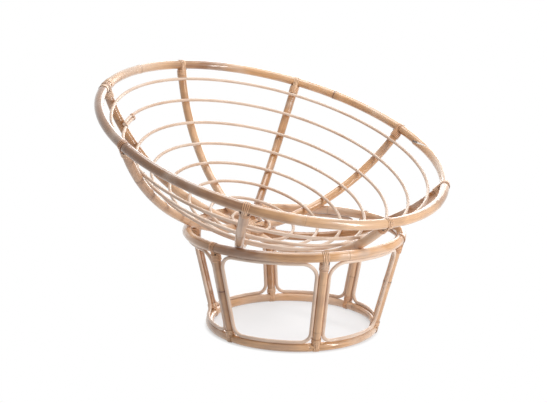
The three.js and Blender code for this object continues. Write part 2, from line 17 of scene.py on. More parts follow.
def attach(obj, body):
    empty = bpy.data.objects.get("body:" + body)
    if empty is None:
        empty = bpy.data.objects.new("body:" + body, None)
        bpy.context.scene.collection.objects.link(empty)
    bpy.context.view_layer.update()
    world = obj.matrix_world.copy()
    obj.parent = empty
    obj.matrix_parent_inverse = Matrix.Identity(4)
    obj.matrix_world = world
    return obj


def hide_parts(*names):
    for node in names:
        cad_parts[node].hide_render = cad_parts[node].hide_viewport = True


bl_info = {
    "name": "Papasan chair",
    "version": (1, 0, 0),
    "blender": (4, 5, 0),
    "location": "View3D > Sidebar > Papasan",
    "description": "Dresses a rattan papasan chair frame: poles, rods, peel bindings and nails",
    "category": "Object",
}

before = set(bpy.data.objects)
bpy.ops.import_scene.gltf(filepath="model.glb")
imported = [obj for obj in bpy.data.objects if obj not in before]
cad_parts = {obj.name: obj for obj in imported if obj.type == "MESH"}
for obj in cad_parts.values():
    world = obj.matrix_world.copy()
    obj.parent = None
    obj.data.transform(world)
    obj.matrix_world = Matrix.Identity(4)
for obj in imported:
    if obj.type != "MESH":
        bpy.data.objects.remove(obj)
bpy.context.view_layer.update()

ROUND = 2 * math.pi
FRONT, BACK = -math.pi / 2, math.pi / 2
POSTS, RIBS = 6, 8
POST_STEP, RIB_STEP = math.radians(60), math.radians(45)
RIB_FACETS = 14  # straight lengths that each solid rib has between the hub and the rim
PATH_STEP = 0.006
NODE_STEPS = (-.012, -.008, -.005, -.003, -.0018, -.0009, 0, .0009, .0018, .003, .005, .008, .012)
WAVES, SWELLING, GROOVE = 0.006, 0.0008, 0.0006  # how uneven a cane is, and its shape at a node
STAIN = 0.28  # darkness beside a node, as a share of the node's own
ROD_EVEN = 0.03  # how far from the ends of its path a thin rod is evened


# Sizes and colours


def length_value(name, default, description):
    return FloatProperty(name=name, description=description, default=default, unit="LENGTH")


def angle_value(name, degrees, description):
    return FloatProperty(name=name, description=description, default=math.radians(degrees), subtype="ANGLE")


def vector_value(name, default, description, subtype):
    return FloatVectorProperty(name=name, description=description, default=default, size=3, subtype=subtype)


def colour_value(name, default, description):
    return vector_value(name, default, description, "COLOR_GAMMA")


class ChairSizes(bpy.types.PropertyGroup):
    """Sizes of the chair's poles, rods and strips"""

    top_ring_radius: length_value("Top ring radius", 0.329, "To the pole's middle")
    top_ring_height: length_value("Top ring height", 0.303, "To the pole's middle")
    top_ring_pole: length_value("Top ring pole", 0.029, "Thickness")
    foot_ring_radius: length_value("Foot ring radius", 0.257, "To the pole's middle")
    foot_ring_pole: length_value("Foot ring pole", 0.0256, "Thickness")
    post_pole: length_value("Post", 0.025, "Thickness")
    panel_cane: length_value("Panel cane", 0.011, "Thickness")
    panel_top_bend: length_value("Panel top bend", 0.042, "Radius of the upper corners")
    panel_foot_bend: length_value("Panel foot bend", 0.032, "Radius of the lower corners")
    rim_radius: length_value("Rim radius", 0.545, "To the pole's middle")
    bowl_depth: length_value("Bowl depth", 0.327, "From the rim's plane to the ribs' lowest point")
    rim_pole: length_value("Rim pole", 0.029, "Thickness")
    rib_pole: length_value("Rib", 0.028, "Thickness")
    hoop_rod: length_value("Hoop rod", 0.010, "Thickness")
    first_hoop_drop: length_value("First hoop", 0.050, "How far it lies below the rim, along a rib")
    last_hoop_radius: length_value("Last hoop radius", 0.061, "The smallest hoop's radius")
    hoop_overlap: length_value("Hoop overlap", 0.092, "How far the spliced hoop's ends pass each other")
    clear: length_value("Clearance", 0.0003, "Between pieces that touch")
    peel: length_value("Peel thickness", 0.001, "Thickness of a binding strip")
    peel_width: length_value("Peel width", 0.0044, "Width of a binding strip")
    tilt: angle_value("Tilt", 18.9, "Of the bowl, forwards")
    turn: angle_value("Turn", -6, "Of the bowl about its own axis")
    hoops: IntProperty(name="Hoops", description="Rods inside the ribs", default=8)
    strips: IntProperty(name="Strips", description="Peel strips over each joint", default=4)


class ChairColours(bpy.types.PropertyGroup):
    """Colours of the cane, as they look in daylight"""

    pole: colour_value("Pole", (0.89, 0.685, 0.475), "Varnished pole")
    # The two dark colours below serve the streaks, and also the painted shade laid on darker stretches
    pole_dark: colour_value("Pole, dark", (0.595, 0.405, 0.245), "Its darker streaks")
    strut_dark: colour_value("Strut, dark", (0.64, 0.415, 0.205), "Darker streaks of the posts and ribs")
    pole_olive: colour_value("Pole, olive", (0.76, 0.56, 0.34), "Stretches that kept some green")
    rod: colour_value("Rod", (0.93, 0.83, 0.745), "Peeled rod")
    rod_dark: colour_value("Rod, dark", (0.80, 0.655, 0.54), "Its fibres")
    peel: colour_value("Peel", (0.97, 0.80, 0.635), "Binding strips")
    peel_dark: colour_value("Peel, dark", (0.83, 0.57, 0.355), "Their fibres")
    # Also the painted shade at the strips' edges, in the gaps between strips
    node: colour_value("Node", (0.36, 0.19, 0.10), "The ring where a leaf grew, and the strips' edges")
    # Also the colour of the painted highlights laid on the poles
    bare_and_sheen: colour_value("Bare", (0.96, 0.91, 0.86), "Cut faces and worn stretches")
    floor: colour_value("Floor", (0.93, 0.93, 0.94), "Floor and backdrop")


class PhotoView(bpy.types.PropertyGroup):
    """Where the photograph was taken from"""

    place: FloatVectorProperty(
        name="Place", description="Of the camera", default=(-2.5694, -2.5911, 1.1570), size=3,
        subtype="XYZ", unit="LENGTH")
    right: vector_value("Right", (0.71269, -0.70121, 0.01937), "The picture's right", "DIRECTION")
    up: vector_value("Up", (0.13283, 0.16201, 0.97781), "The picture's top", "DIRECTION")
    lens: FloatProperty(
        name="Lens", description="Focal length on a 36 mm sensor, in millimetres", default=78.686)


def sizes():
    return bpy.context.scene.papasan_sizes


def colours():
    return bpy.context.scene.papasan_colours


def linear(colour):
    return tuple((c / 12.92 if c <= 0.04045 else ((c + 0.055) / 1.055) ** 2.4) for c in colour) + (1.0,)


# Node trees


class Nodes:
    """A node tree, with short calls for what the finishes and the sweeps both need."""

    def __init__(self, tree):
        self.tree = tree
        tree.nodes.clear()

    def add(self, kind, inputs=None, output=0, **settings):
        """Adds a node, sets it, feeds its inputs and gives back one of its outputs."""
        node = self.tree.nodes.new(kind)
        for key, value in settings.items():
            setattr(node, key, value)
        for key, value in (inputs or {}).items():
            self.feed(node.inputs[key], value)
        return node.outputs[output]

    def feed(self, socket, value):
        if isinstance(value, bpy.types.NodeSocket):
            self.tree.links.new(value, socket)
        else:
            socket.default_value = value

    def sums(self, operation, a, b=0.0):
        return self.add("ShaderNodeMath", {0: a, 1: b}, operation=operation)

    def between(self, value, low, high):
        return self.sums("MINIMUM", self.sums("MAXIMUM", value, low), high)

    def vectors(self, operation, a, b):
        second = "Scale" if operation == "SCALE" else 1
        return self.add("ShaderNodeVectorMath", {0: a, second: b}, operation=operation)

    def seen(self):
        """1 for what the camera and the reflections see, 0 for the light that falls on the chair."""
        rays = self.add("ShaderNodeLightPath").node.outputs
        return self.sums("MAXIMUM", rays["Is Camera Ray"], rays["Is Glossy Ray"])


class Finish(Nodes):
    """A material's node tree round one surface."""

    def __init__(self, name):
        self.material = bpy.data.materials.new(name)
        self.material.use_nodes = True
        super().__init__(self.material.node_tree)
        self.surface = self.tree.nodes.new("ShaderNodeBsdfPrincipled")
        self.end = self.tree.nodes.new("ShaderNodeOutputMaterial").inputs["Surface"]
        self.feed(self.end, self.surface.outputs[0])

    def dress(self, inputs):
        for name, value in inputs.items():
            self.feed(self.surface.inputs[name], value)

    def place(self):
        return self.add("ShaderNodeTexCoord", output="Object")

    def attribute(self, name, output="Fac"):
        return self.add("ShaderNodeAttribute", output=output, attribute_name=name)

    def noise(self, vector, scale, detail=3.0, rough=0.5):
        inputs = {"Vector": vector, "Scale": scale, "Detail": detail, "Roughness": rough}
        return self.add("ShaderNodeTexNoise", inputs, "Fac")

    def ramp(self, value, low, high, out_low=0.0, out_high=1.0):
        inputs = {"Value": value, "From Min": low, "From Max": high, "To Min": out_low, "To Max": out_high}
        return self.add("ShaderNodeMapRange", inputs, "Result", interpolation_type="SMOOTHSTEP")

    def mix(self, factor, a, b):
        return self.add("ShaderNodeMix", {"Factor": factor, "A": a, "B": b}, "Result", data_type="RGBA")


def cane_material(name, pale, dark, olive, fibres, rough, coat, painted_edge_shade=0.0):
    """Cane: fibres along the pole, uneven tone with painted shade in it, pale cut, worn and painted-highlight
    stretches, dark rings at the nodes, painted shade at a strip's edges, and varnish over it all.
    """
    cane = Finish(name)
    grain, place = cane.attribute("grain", "Vector"), cane.place()
    fine = cane.noise(cane.vectors("MULTIPLY", grain, (1.0, 1.0, 0.012)), fibres, 4.0, 0.6)
    streak = cane.noise(cane.vectors("MULTIPLY", grain, (1.0, 1.0, 0.03)), fibres * 0.2, 3.0, 0.55)
    patch = cane.noise(cane.vectors("MULTIPLY", place, (1.0, 1.0, 1.6)), 11.0, 2.0)
    drift = cane.noise(place, 4.5, 2.0)
    paling = cane.noise(cane.vectors("MULTIPLY", place, (1.0, 1.0, 1.3)), 9.0, 2.0)

    share = cane.sums("ADD", cane.ramp(streak, 0.40, 0.72, 0.0, 0.42), cane.ramp(fine, 0.45, 0.8, 0.0, 0.22))
    share = cane.sums("ADD", share, cane.ramp(patch, 0.40, 0.70, -0.08, 0.36))
    # The tone attribute carries the stretches' own tone and their painted shade
    share = cane.between(cane.sums("ADD", share, cane.attribute("tone")), 0.0, 1.0)
    colour = cane.mix(share, linear(pale), linear(dark))
    colour = cane.mix(cane.ramp(drift, 0.48, 0.75, 0.0, 0.4), colour, linear(olive))
    # Pale for cut faces, worn patches and painted highlights
    bare_and_sheen = cane.sums("MAXIMUM", cane.attribute("bare_and_sheen"), cane.ramp(paling, 0.50, 0.74, 0.0, 0.34))
    colour = cane.mix(bare_and_sheen, colour, linear(colours().bare_and_sheen))
    # Painted shade along a strip's edges, where the gaps between strips lie
    edge = cane.ramp(cane.attribute("edge"), 0.55, 0.95, 0.0, painted_edge_shade)
    colour = cane.mix(cane.sums("MAXIMUM", cane.attribute("mark"), edge), colour, linear(colours().node))
    cane.dress({
        "Base Color": colour,
        "Roughness": cane.ramp(fine, 0.3, 0.7, rough - 0.05, rough + 0.08),
        "Coat Weight": coat,
        "Coat Roughness": 0.12,
        "Specular IOR Level": 0.5,
        "Normal": cane.add("ShaderNodeBump", {"Height": streak, "Strength": 0.05, "Distance": 0.0003}),
    })
    return cane.material


def speckled_material(name, scale, dark, pale, smooth, rough, metallic):
    """Nail steel, or the near-black plugs that stand for the deep shade beside the bindings: a fine speckle
    in colour and gloss.
    """
    head = Finish(name)
    speck = head.noise(head.place(), scale)
    head.dress({
        "Base Color": head.mix(speck, dark, pale),
        "Roughness": head.ramp(speck, 0.3, 0.7, smooth, rough),
        "Metallic": metallic,
    })
    return head.material


def make_materials():
    c = colours()
    return {
        "pole": cane_material("varnished_pole", c.pole, c.pole_dark, c.pole_olive, 700.0, 0.36, 1.0),
        "strut": cane_material("varnished_strut", c.pole, c.strut_dark, c.pole_olive, 760.0, 0.38, 0.9),
        "rod": cane_material("peeled_rod", c.rod, c.rod_dark, c.rod_dark, 1500.0, 0.46, 0.45),
        # The peel's last number is the painted shade at its edges
        "peel": cane_material("binding_peel", c.peel, c.peel_dark, c.peel_dark, 1800.0, 0.40, 0.60, 0.72),
        "nail": speckled_material(
            "nail_steel", 900.0, (0.30, 0.27, 0.24, 1), (0.52, 0.49, 0.45, 1), 0.3, 0.5, 1.0),
        # Near-black plugs that stand for the deep shade beside the bindings
        "peg": speckled_material(
            "peg_wood", 700.0, (0.018, 0.009, 0.005, 1), (0.055, 0.028, 0.014, 1), 0.6, 0.8, 0.0),
    }


class Tree(Nodes):
    """A geometry node tree with named inputs, the last of them its material."""

    def __init__(self, name, inputs):
        super().__init__(bpy.data.node_groups.new(name, "GeometryNodeTree"))
        self.tree.is_modifier = True
        face = self.tree.interface
        face.new_socket("Geometry", in_out="INPUT", socket_type="NodeSocketGeometry")
        for label, kind, value in inputs:
            face.new_socket(label, in_out="INPUT", socket_type=kind).default_value = value
        face.new_socket("Material", in_out="INPUT", socket_type="NodeSocketMaterial")
        face.new_socket("Geometry", in_out="OUTPUT", socket_type="NodeSocketGeometry")
        self.start = self.tree.nodes.new("NodeGroupInput").outputs
        self.end = self.tree.nodes.new("NodeGroupOutput").inputs["Geometry"]

    def named(self, name, kind="FLOAT"):
        return self.add("GeometryNodeInputNamedAttribute", {"Name": name}, "Attribute", data_type=kind)

    def store(self, geometry, name, value, kind="FLOAT"):
        inputs = {"Geometry": geometry, "Name": name, "Value": value}
        return self.add("GeometryNodeStoreNamedAttribute", inputs, data_type=kind, domain="POINT")

    def finish(self, geometry):
        smooth = self.add("GeometryNodeSetShadeSmooth", {0: geometry})
        real = self.add("GeometryNodeRealizeInstances", {0: smooth})
        coated = self.add("GeometryNodeSetMaterial", {"Geometry": real, "Material": self.start["Material"]})
        self.feed(self.end, coated)
        return self.tree


def sweep_tree():
    """Sweeps a section along paths whose points carry their own ways, widths and marks."""
    tree = Tree("swept_cane", [("Sides", "NodeSocketInt", 24), ("Squareness", "NodeSocketFloat", 0.0)])

    # The section: a circle, or pulled out towards a square for the strips
    circle = tree.add("GeometryNodeCurvePrimitiveCircle", {"Resolution": tree.start["Sides"]}, "Curve")
    spot = tree.add("GeometryNodeInputPosition")
    x, y, _ = tree.add("ShaderNodeSeparateXYZ", {0: spot}).node.outputs
    reach = tree.sums("MAXIMUM", tree.sums("ABSOLUTE", x), tree.sums("ABSOLUTE", y))
    inputs = {"Factor": tree.start["Squareness"], "A": 1.0, "B": reach}
    grown = tree.sums("DIVIDE", 1.0, tree.add("ShaderNodeMix", inputs, "Result", data_type="FLOAT"))
    section = tree.store(circle, "section", tree.vectors("SCALE", spot, grown), "FLOAT_VECTOR")
    line = tree.add("GeometryNodeMeshToCurve", {0: tree.start["Geometry"]})
    swept = tree.add("GeometryNodeCurveToMesh", {"Curve": line, "Profile Curve": section, "Fill Caps": True})

    # Outwards it stops at the path's limits, and sideways at the chord that a cut there has
    rise, lean, _ = tree.add("ShaderNodeSeparateXYZ", {0: tree.named("section", "FLOAT_VECTOR")}).node.outputs
    whole = tree.sums("MULTIPLY", rise, tree.named("thick"))
    up = tree.between(whole, tree.named("low"), tree.named("high"))
    cut = tree.sums("GREATER_THAN", tree.sums("ABSOLUTE", tree.sums("SUBTRACT", whole, up)), 0.0003)
    share = tree.sums("DIVIDE", up, tree.named("thick"))
    chord = tree.sums("SQRT", tree.sums("SUBTRACT", 1.0001, tree.sums("MULTIPLY", share, share)))
    chord = tree.sums("MAXIMUM", chord, tree.sums("SUBTRACT", 1.0, cut))
    kept = tree.between(lean, tree.sums("MULTIPLY", chord, -1.0), chord)
    across = tree.sums("MULTIPLY", kept, tree.named("wide"))
    out_way, side_way, place = (tree.named(name, "FLOAT_VECTOR") for name in VECTORS)
    place = tree.vectors("ADD", place, tree.vectors("SCALE", out_way, up))
    place = tree.vectors("ADD", place, tree.vectors("SCALE", side_way, across))
    made = tree.add("GeometryNodeSetPosition", {"Geometry": swept, "Position": place})

    # What the finishes read, among them the strips' edges that take painted shade, and the bare stretches
    # with painted highlights
    grain = tree.add("ShaderNodeCombineXYZ", {0: up, 1: across, 2: tree.named("along")})
    bare_and_sheen = tree.sums("MAXIMUM", tree.sums("MULTIPLY", cut, tree.named("fresh")), tree.named("wash"))
    made = tree.store(made, "grain", grain, "FLOAT_VECTOR")
    made = tree.store(made, "edge", tree.sums("ABSOLUTE", lean))
    return tree.finish(tree.store(made, "bare_and_sheen", bare_and_sheen))


def nail_tree():
    """Sets a small domed head on every point, along the point's own way."""
    inputs = [("Head Radius", "NodeSocketFloat", 0.0016), ("Head Height", "NodeSocketFloat", 0.0007)]
    tree = Tree("nail_heads", inputs)
    ball = tree.add("GeometryNodeMeshUVSphere", {"Segments": 10, "Rings": 6, "Radius": 1.0}, "Mesh")
    radius, height = tree.start["Head Radius"], tree.start["Head Height"]
    heads = tree.add("GeometryNodeInstanceOnPoints", {
        "Points": tree.start["Geometry"],
        "Instance": ball,
        "Rotation": tree.add(
            "FunctionNodeAlignRotationToVector", {"Vector": tree.named("out_way", "FLOAT_VECTOR")}, axis="Z"),
        "Scale": tree.add("ShaderNodeCombineXYZ", {0: radius, 1: radius, 2: height}),
    })
    return tree.finish(heads)


KIT = {}


def kit(key):
    """The materials and trees, made once."""
    if not KIT:
        KIT.update(make_materials(), sweep=sweep_tree(), heads=nail_tree())
    return KIT[key]


def in_scene(name, data):
    """A mesh, lamp or camera as an object in the scene."""
    thing = bpy.data.objects.new(name, data)
    bpy.context.scene.collection.objects.link(thing)
    return thing


def grow_mesh(name, mesh, tree, values, body, nodes=()):
    """Runs a tree on a path mesh and keeps its result as a plain mesh on a body of the chair."""
    carrier = in_scene(name + "_path", mesh)
    modifier = carrier.modifiers.new("grow", "NODES")
    modifier.node_group = tree
    for item in tree.interface.items_tree:
        if item.item_type == "SOCKET" and item.in_out == "INPUT" and item.name in values:
            modifier[item.identifier] = values[item.name]
    bpy.context.view_layer.update()
    evaluated = carrier.evaluated_get(bpy.context.evaluated_depsgraph_get())
    result = bpy.data.meshes.new_from_object(evaluated)
    result.name = name
    carrier.modifiers.clear()
    bpy.data.objects.remove(carrier)
    face_outwards(result)
    piece = in_scene(name, result)
    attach(piece, body)
    if nodes:
        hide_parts(*nodes)


def face_outwards(mesh):
    """Turns the faces round if the mesh encloses a negative volume."""
    solid = bmesh.new()
    solid.from_mesh(mesh)
    if solid.calc_volume(signed=True) < 0:
        mesh.flip_normals()
    solid.free()


# Paths


VECTORS = ("out_way", "side_way", "middle")
NUMBERS = ("wide", "thick", "along", "tone", "mark", "low", "high", "wash", "fresh")


class Path:
    """Points of a pole or strip, with the ways of its section and the outward limits that trim it."""

    # Outward limits, paleness from wear and painted highlight, and how pale cut faces are
    low, high, wash, fresh = -1.0, 1.0, 0.0, 1.0

    def __init__(self, points, out, closed=False):
        self.middle = np.asarray(points, dtype=float)
        self.closed = closed
        steps = np.linalg.norm(np.diff(self.middle, axis=0), axis=1)
        self.along = np.concatenate(([0.0], np.cumsum(steps)))
        if closed:
            way = np.roll(self.middle, -1, axis=0) - np.roll(self.middle, 1, axis=0)
        else:
            way = np.gradient(self.middle, axis=0)
        way = way / np.linalg.norm(way, axis=1, keepdims=True)
        out = np.broadcast_to(np.asarray(out, dtype=float), self.middle.shape)
        out = out - (out * way).sum(1, keepdims=True) * way
        self.out_way = out / np.linalg.norm(out, axis=1, keepdims=True)
        self.side_way = np.cross(way, self.out_way)


def path_mesh(name, strands):
    """One mesh of edges for several paths, each as (path, wide, thick, tone, mark)."""
    points, edges = [], []
    columns = {key: [] for key in VECTORS + NUMBERS}
    for path, wide, thick, tone, mark in strands:
        first, count = len(points), len(path.middle)
        points.extend(tuple(p) for p in path.middle)
        edges.extend((first + k, first + k + 1) for k in range(count - 1))
        if path.closed:
            edges.append((first + count - 1, first))
        given = {"wide": wide, "thick": thick, "tone": tone, "mark": mark}
        for key, column in columns.items():
            value = given[key] if key in given else getattr(path, key)
            column.extend(np.broadcast_to(value, (count, 3) if key in VECTORS else (count,)))
    mesh = bpy.data.meshes.new(name)
    mesh.from_pydata(points, edges, [])
    for key, column in columns.items():
        kind, part = ("FLOAT_VECTOR", "vector") if key in VECTORS else ("FLOAT", "value")
        layer = mesh.attributes.new(key, kind, "POINT")
        layer.data.foreach_set(part, np.asarray(column, dtype=np.float32).ravel())
    return mesh


def place_of(body):
    """A body's own frame within the chair, as a turn and a shift."""
    matrix = bowl_matrix() if body == "bowl" else base_matrix()
    return np.array(matrix.to_3x3()), np.array(matrix.translation)


def sweep(name, strands, body, finish, sides, *nodes):
    """Sweeps strands, laid out in a body's own frame, to one piece of a finish."""
    turn, shift = place_of(body)
    for path, *_ in strands:
        path.middle = path.middle @ turn.T + shift
        path.out_way = path.out_way @ turn.T
        path.side_way = path.side_way @ turn.T
    values = {"Sides": sides, "Squareness": 0.75 if finish == "peel" else 0.0, "Material": kit(finish)}
    grow_mesh(name, path_mesh(name + "_path", strands), kit("sweep"), values, body, nodes)


def meridian(azimuth, r, z):
    azimuth, r, z = np.broadcast_arrays(azimuth, r, z)
    return np.stack((r * np.cos(azimuth), r * np.sin(azimuth), z), axis=-1)


def tangent_of(azimuth):
    return np.array((-math.sin(azimuth), math.cos(azimuth), 0.0))


def arc_point(angle, reach):
    """Outward distance and height round the bowl's middle, the angle counted from straight down."""
    return reach * np.sin(angle), -reach * np.cos(angle)


def on_bowl(azimuth, angle, reach):
    return meridian(azimuth, *arc_point(angle, reach))


def base_matrix():
    return Matrix.Translation((0, -rim_depth() * math.sin(sizes().tilt), 0))


def bowl_matrix():
    s = sizes()
    tilted = Matrix.Translation((0, 0, bowl_height())) @ Matrix.Rotation(s.tilt, 4, "X")
    return base_matrix() @ tilted @ Matrix.Rotation(s.turn, 4, "Z")


def bowl_radius():
    s = sizes()
    return (s.rim_radius ** 2 + s.bowl_depth ** 2) / (2 * s.bowl_depth)


def rim_depth():
    return bowl_radius() - sizes().bowl_depth


def rim_angle():
    return math.atan2(sizes().rim_radius, rim_depth())


def bowl_height():
    """Height of the bowl's middle, from the ribs' seat on the top ring."""
    s = sizes()
    seat = bowl_radius() + s.rib_pole / 2 + s.clear + s.top_ring_pole / 2
    return s.top_ring_height + math.sqrt(seat ** 2 - s.top_ring_radius ** 2)


def rib_azimuth(number):
    return BACK - (number - 1) * RIB_STEP


def with_nodes(azimuths, radius, node_azimuths):
    """Azimuths with extra steps close to each cane node."""
    extra = [a + d / radius for a in node_azimuths for d in NODE_STEPS]
    low, high = azimuths[0], azimuths[-1]
    merged = np.sort(np.concatenate((azimuths, [a for a in extra if low < a < high])))
    keep = np.concatenate(([True], np.diff(merged) * radius > 0.0004))
    return merged[keep]


def cane_swell(along, marks, pole, seed):
    """Radius of a grown cane and how dark its nodes are; marks are (distance, darkness)."""
    rng = np.random.default_rng(seed)
    waves = sum(
        rng.uniform(-1, 1) * np.sin(along / rng.uniform(0.05, 0.2) + rng.uniform(0, 6)) for _ in range(4))
    radius = pole / 2 * (1 + WAVES * waves)
    dark = np.zeros(len(along))
    for mark, depth in marks:
        away = along - mark
        beyond = away > 0
        swelling = np.exp(-(np.where(beyond, away / 0.006, away / 0.012)) ** 2)
        groove = np.exp(-(away / 0.0011) ** 2)
        ring = np.exp(-(away / (0.0014 + 0.0010 * depth)) ** 2)
        stain = np.exp(-(np.where(beyond, away / 0.004, away / 0.014)) ** 2)
        radius = radius + SWELLING * (0.4 + depth) * swelling
        radius = radius - GROOVE * groove
        dark = np.maximum(dark, depth * ring)
        dark = np.maximum(dark, STAIN * depth * stain)
    return radius, dark


def bent_pole(azimuths, radius, marks, pole, seed):
    """Azimuths, distances, thickness and darkness of a bent pole; marks are (degrees, darkness)."""
    marks = [(math.radians(degrees), depth) for degrees, depth in marks]
    azimuths = with_nodes(azimuths, radius, [m for m, _ in marks])
    along = (azimuths - azimuths[0]) * radius
    thick, mark = cane_swell(along, [((m - azimuths[0]) * radius, depth) for m, depth in marks], pole, seed)
    return azimuths, along, thick, mark


def eased(thick, along, half, reach):
    """Brings a pole to its even thickness near both ends of its path."""
    return half + (thick - half) * np.minimum(1.0, np.minimum(along, along[-1] - along) / reach)


def stretches(azimuths, spans):
    """Tone and paleness of a bent pole, partly the cane's own and partly painted shade and painted highlight;
    spans are (middle and spread in degrees, tone, paleness).
    """
    tone = np.zeros(len(azimuths))
    wash = np.zeros(len(azimuths))
    for middle, spread, darker, paling in spans:
        away = (np.degrees(azimuths) - middle + 180) % 360 - 180
        share = np.exp(-(away / spread) ** 2)
        tone = tone + darker * share
        wash = wash + paling * share
    return tone, np.clip(wash, 0, 0.8)


def trim_lap(path, azimuths, low, high, halves, thick, inner_first):
    """Slants both ends of a bent pole; the inner or the outer half stays at its low end."""
    tip, gap = 0.93, 0.0001
    near = np.clip((azimuths - low) / halves[0], -tip, 1)
    far = np.clip((azimuths - high) / halves[1], -tip, tip)
    ending = azimuths > high - halves[1]
    if inner_first:
        path.high = np.where(near < 1, thick * near - gap, 1.0)
        path.low = np.where(ending, thick * far + gap, -1.0)
    else:
        path.low = np.where(near < 1, gap - thick * near, -1.0)
        path.high = np.where(ending, -thick * far - gap, 1.0)


# Base


class PAPASAN_OT_rings(bpy.types.Operator):
    """Bends the base's top ring and foot ring, each from one pole"""

    bl_idname = "papasan.rings"
    bl_label = "Base rings"

    top_marks = ((-108, 0.35), (-34, 0.5), (24, 0.3), (94, 0.5), (146, 0.35))
    # Stretches as (middle and spread in degrees, tone, paleness), partly the cane's own and partly painted
    # shade and painted highlight
    top_spans = (
        (-168, 26, 0.9, 0), (76, 12, 0.7, 0), (120, 26, -0.6, 0.75), (26, 26, -0.9, 0.5), (-18, 10, 0.5, 0),
        (-75, 14, -0.1, 0),
    )
    top_start = -3.5
    foot_marks = ((-72, 0.3), (-8, 0.45), (60, 0.3), (128, 0.5))
    # The foot ring's stretches, likewise partly painted shade and painted highlight
    foot_spans = (
        (15, 24, -0.8, 0.45), (72, 18, -0.5, 0.35), (-65, 26, -0.3, 0.35), (-145, 20, 0, 0.15),
        (-33, 6, 0.3, 0), (122, 12, 0, 0.2),
    )
    foot_lift = 0.0007  # keeps the swellings at its nodes off the floor
    top_even, foot_even = 0.05, 0.08  # how far from the ends of its path each ring is evened
    lap_azimuth = math.radians(-129.5)
    lap_half, lap_tip, lap_edge = 0.026, 0.007, 0.0012  # half the lap, its rounded tip and the painted shade line at that tip

    def execute(self, context):
        sweep("bent_top_ring", [self.closed_ring()], "base", "pole", 28, "top_ring")
        sweep("bent_foot_ring", [self.lapped_ring()], "base", "pole", 28, "foot_ring")
        return {"FINISHED"}

    def closed_ring(self):
        s = sizes()
        radius, pole = s.top_ring_radius, s.top_ring_pole
        steps = np.linspace(self.top_start, self.top_start + ROUND, int(ROUND * radius / PATH_STEP))
        parts = bent_pole(steps, radius, self.top_marks, pole, 3)
        azimuths, along, thick, mark = (part[:-1] for part in parts)
        path = Path(meridian(azimuths, radius, s.top_ring_height), meridian(azimuths, 1.0, 0.0), closed=True)
        thick = eased(thick, along, pole / 2, self.top_even)
        tone, path.wash = stretches(azimuths, self.top_spans)
        return path, thick, thick, tone, mark

    def lapped_ring(self):
        """A ring whose two slanted ends lap each other, the outer one rounded at its tip."""
        s = sizes()
        radius, pole = s.foot_ring_radius, s.foot_ring_pole
        half, meet = self.lap_half / radius, self.lap_azimuth
        steps = np.arange(meet - half, meet + half + ROUND, PATH_STEP / 2 / radius)
        azimuths, along, thick, mark = bent_pole(steps, radius, self.foot_marks, pole, 5)
        path = Path(meridian(azimuths, radius, pole / 2 + self.foot_lift), meridian(azimuths, 1.0, 0.0))
        thick = eased(thick, along, pole / 2, self.foot_even)
        trim_lap(path, azimuths, meet, meet + ROUND, (half, half), thick, True)
        path.fresh = 0.2
        left = along[-1] - along
        wide = thick * np.sqrt(np.clip(1 - (1 - np.minimum(left / self.lap_tip, 1)) ** 2, 0.02, 1))
        # A painted shade line at the tip of the outer end
        mark = np.maximum(mark, 0.8 * (left < self.lap_edge))
        tone, path.wash = stretches(azimuths, self.foot_spans)
        return path, wide, thick, tone, mark


def post_azimuth(k):
    return FRONT + (k + 0.5) * POST_STEP


def post_way():
    """A post's way, outwards and up, and its length from ring to ring."""
    s = sizes()
    way = np.array((s.top_ring_radius - s.foot_ring_radius, s.top_ring_height - s.foot_ring_pole / 2))
    return way / np.linalg.norm(way), float(np.linalg.norm(way))


def drum_path(azimuth, climb, closed=False):
    """A path on the cone through the posts' middles; climb is the distance up from the foot ring."""
    s = sizes()
    way, _ = post_way()
    points = meridian(azimuth, s.foot_ring_radius + way[0] * climb, s.foot_ring_pole / 2 + way[1] * climb)
    return Path(points, meridian(azimuth, way[1], -way[0]), closed)


class PAPASAN_OT_posts(bpy.types.Operator):
    """Sets six leaning posts between the base's rings"""

    bl_idname = "papasan.posts"
    bl_label = "Posts"

    # Each post's nodes as (distance up, darkness), its tone and its paleness; tone and paleness are partly
    # the cane's own and partly painted shade and painted highlight
    looks = (
        (((0.162, 0.8),), -0.1, 0.14),
        (((0.094, 0.4), (0.231, 0.3)), -0.9, 0.25),
        (((0.125, 0.35),), 0.5, 0.0),
        (((0.071, 0.3), (0.205, 0.5)), 0.8, 0.0),
        (((0.161, 0.9), (0.155, 0.12), (0.1515, 0.2), (0.148, 0.2), (0.1445, 0.2), (0.141, 0.2),
          (0.1375, 0.12)), 0.5, 0.1),
        (((0.054, 0.25), (0.214, 0.1)), 0.0, 0.14),
    )
    end_gap = 0.006  # between a post's ends and the rings' middle lines

    def execute(self, context):
        _, length = post_way()
        for k, (nodes, tone, wash) in enumerate(self.looks):
            close = [m + d for m, _ in nodes for d in NODE_STEPS[2:-2]]
            even = np.arange(self.end_gap, length - self.end_gap, PATH_STEP)
            steps = np.sort(np.concatenate((even, close)))
            path = drum_path(post_azimuth(k), steps)
            thick, mark = cane_swell(steps, nodes, sizes().post_pole, 20 + k)
            path.wash = wash
            strand = (path, thick, thick, tone, mark)
            sweep(f"cane_post_{k + 1}", [strand], "base", "strut", 24, f"post_{k + 1}")
        return {"FINISHED"}


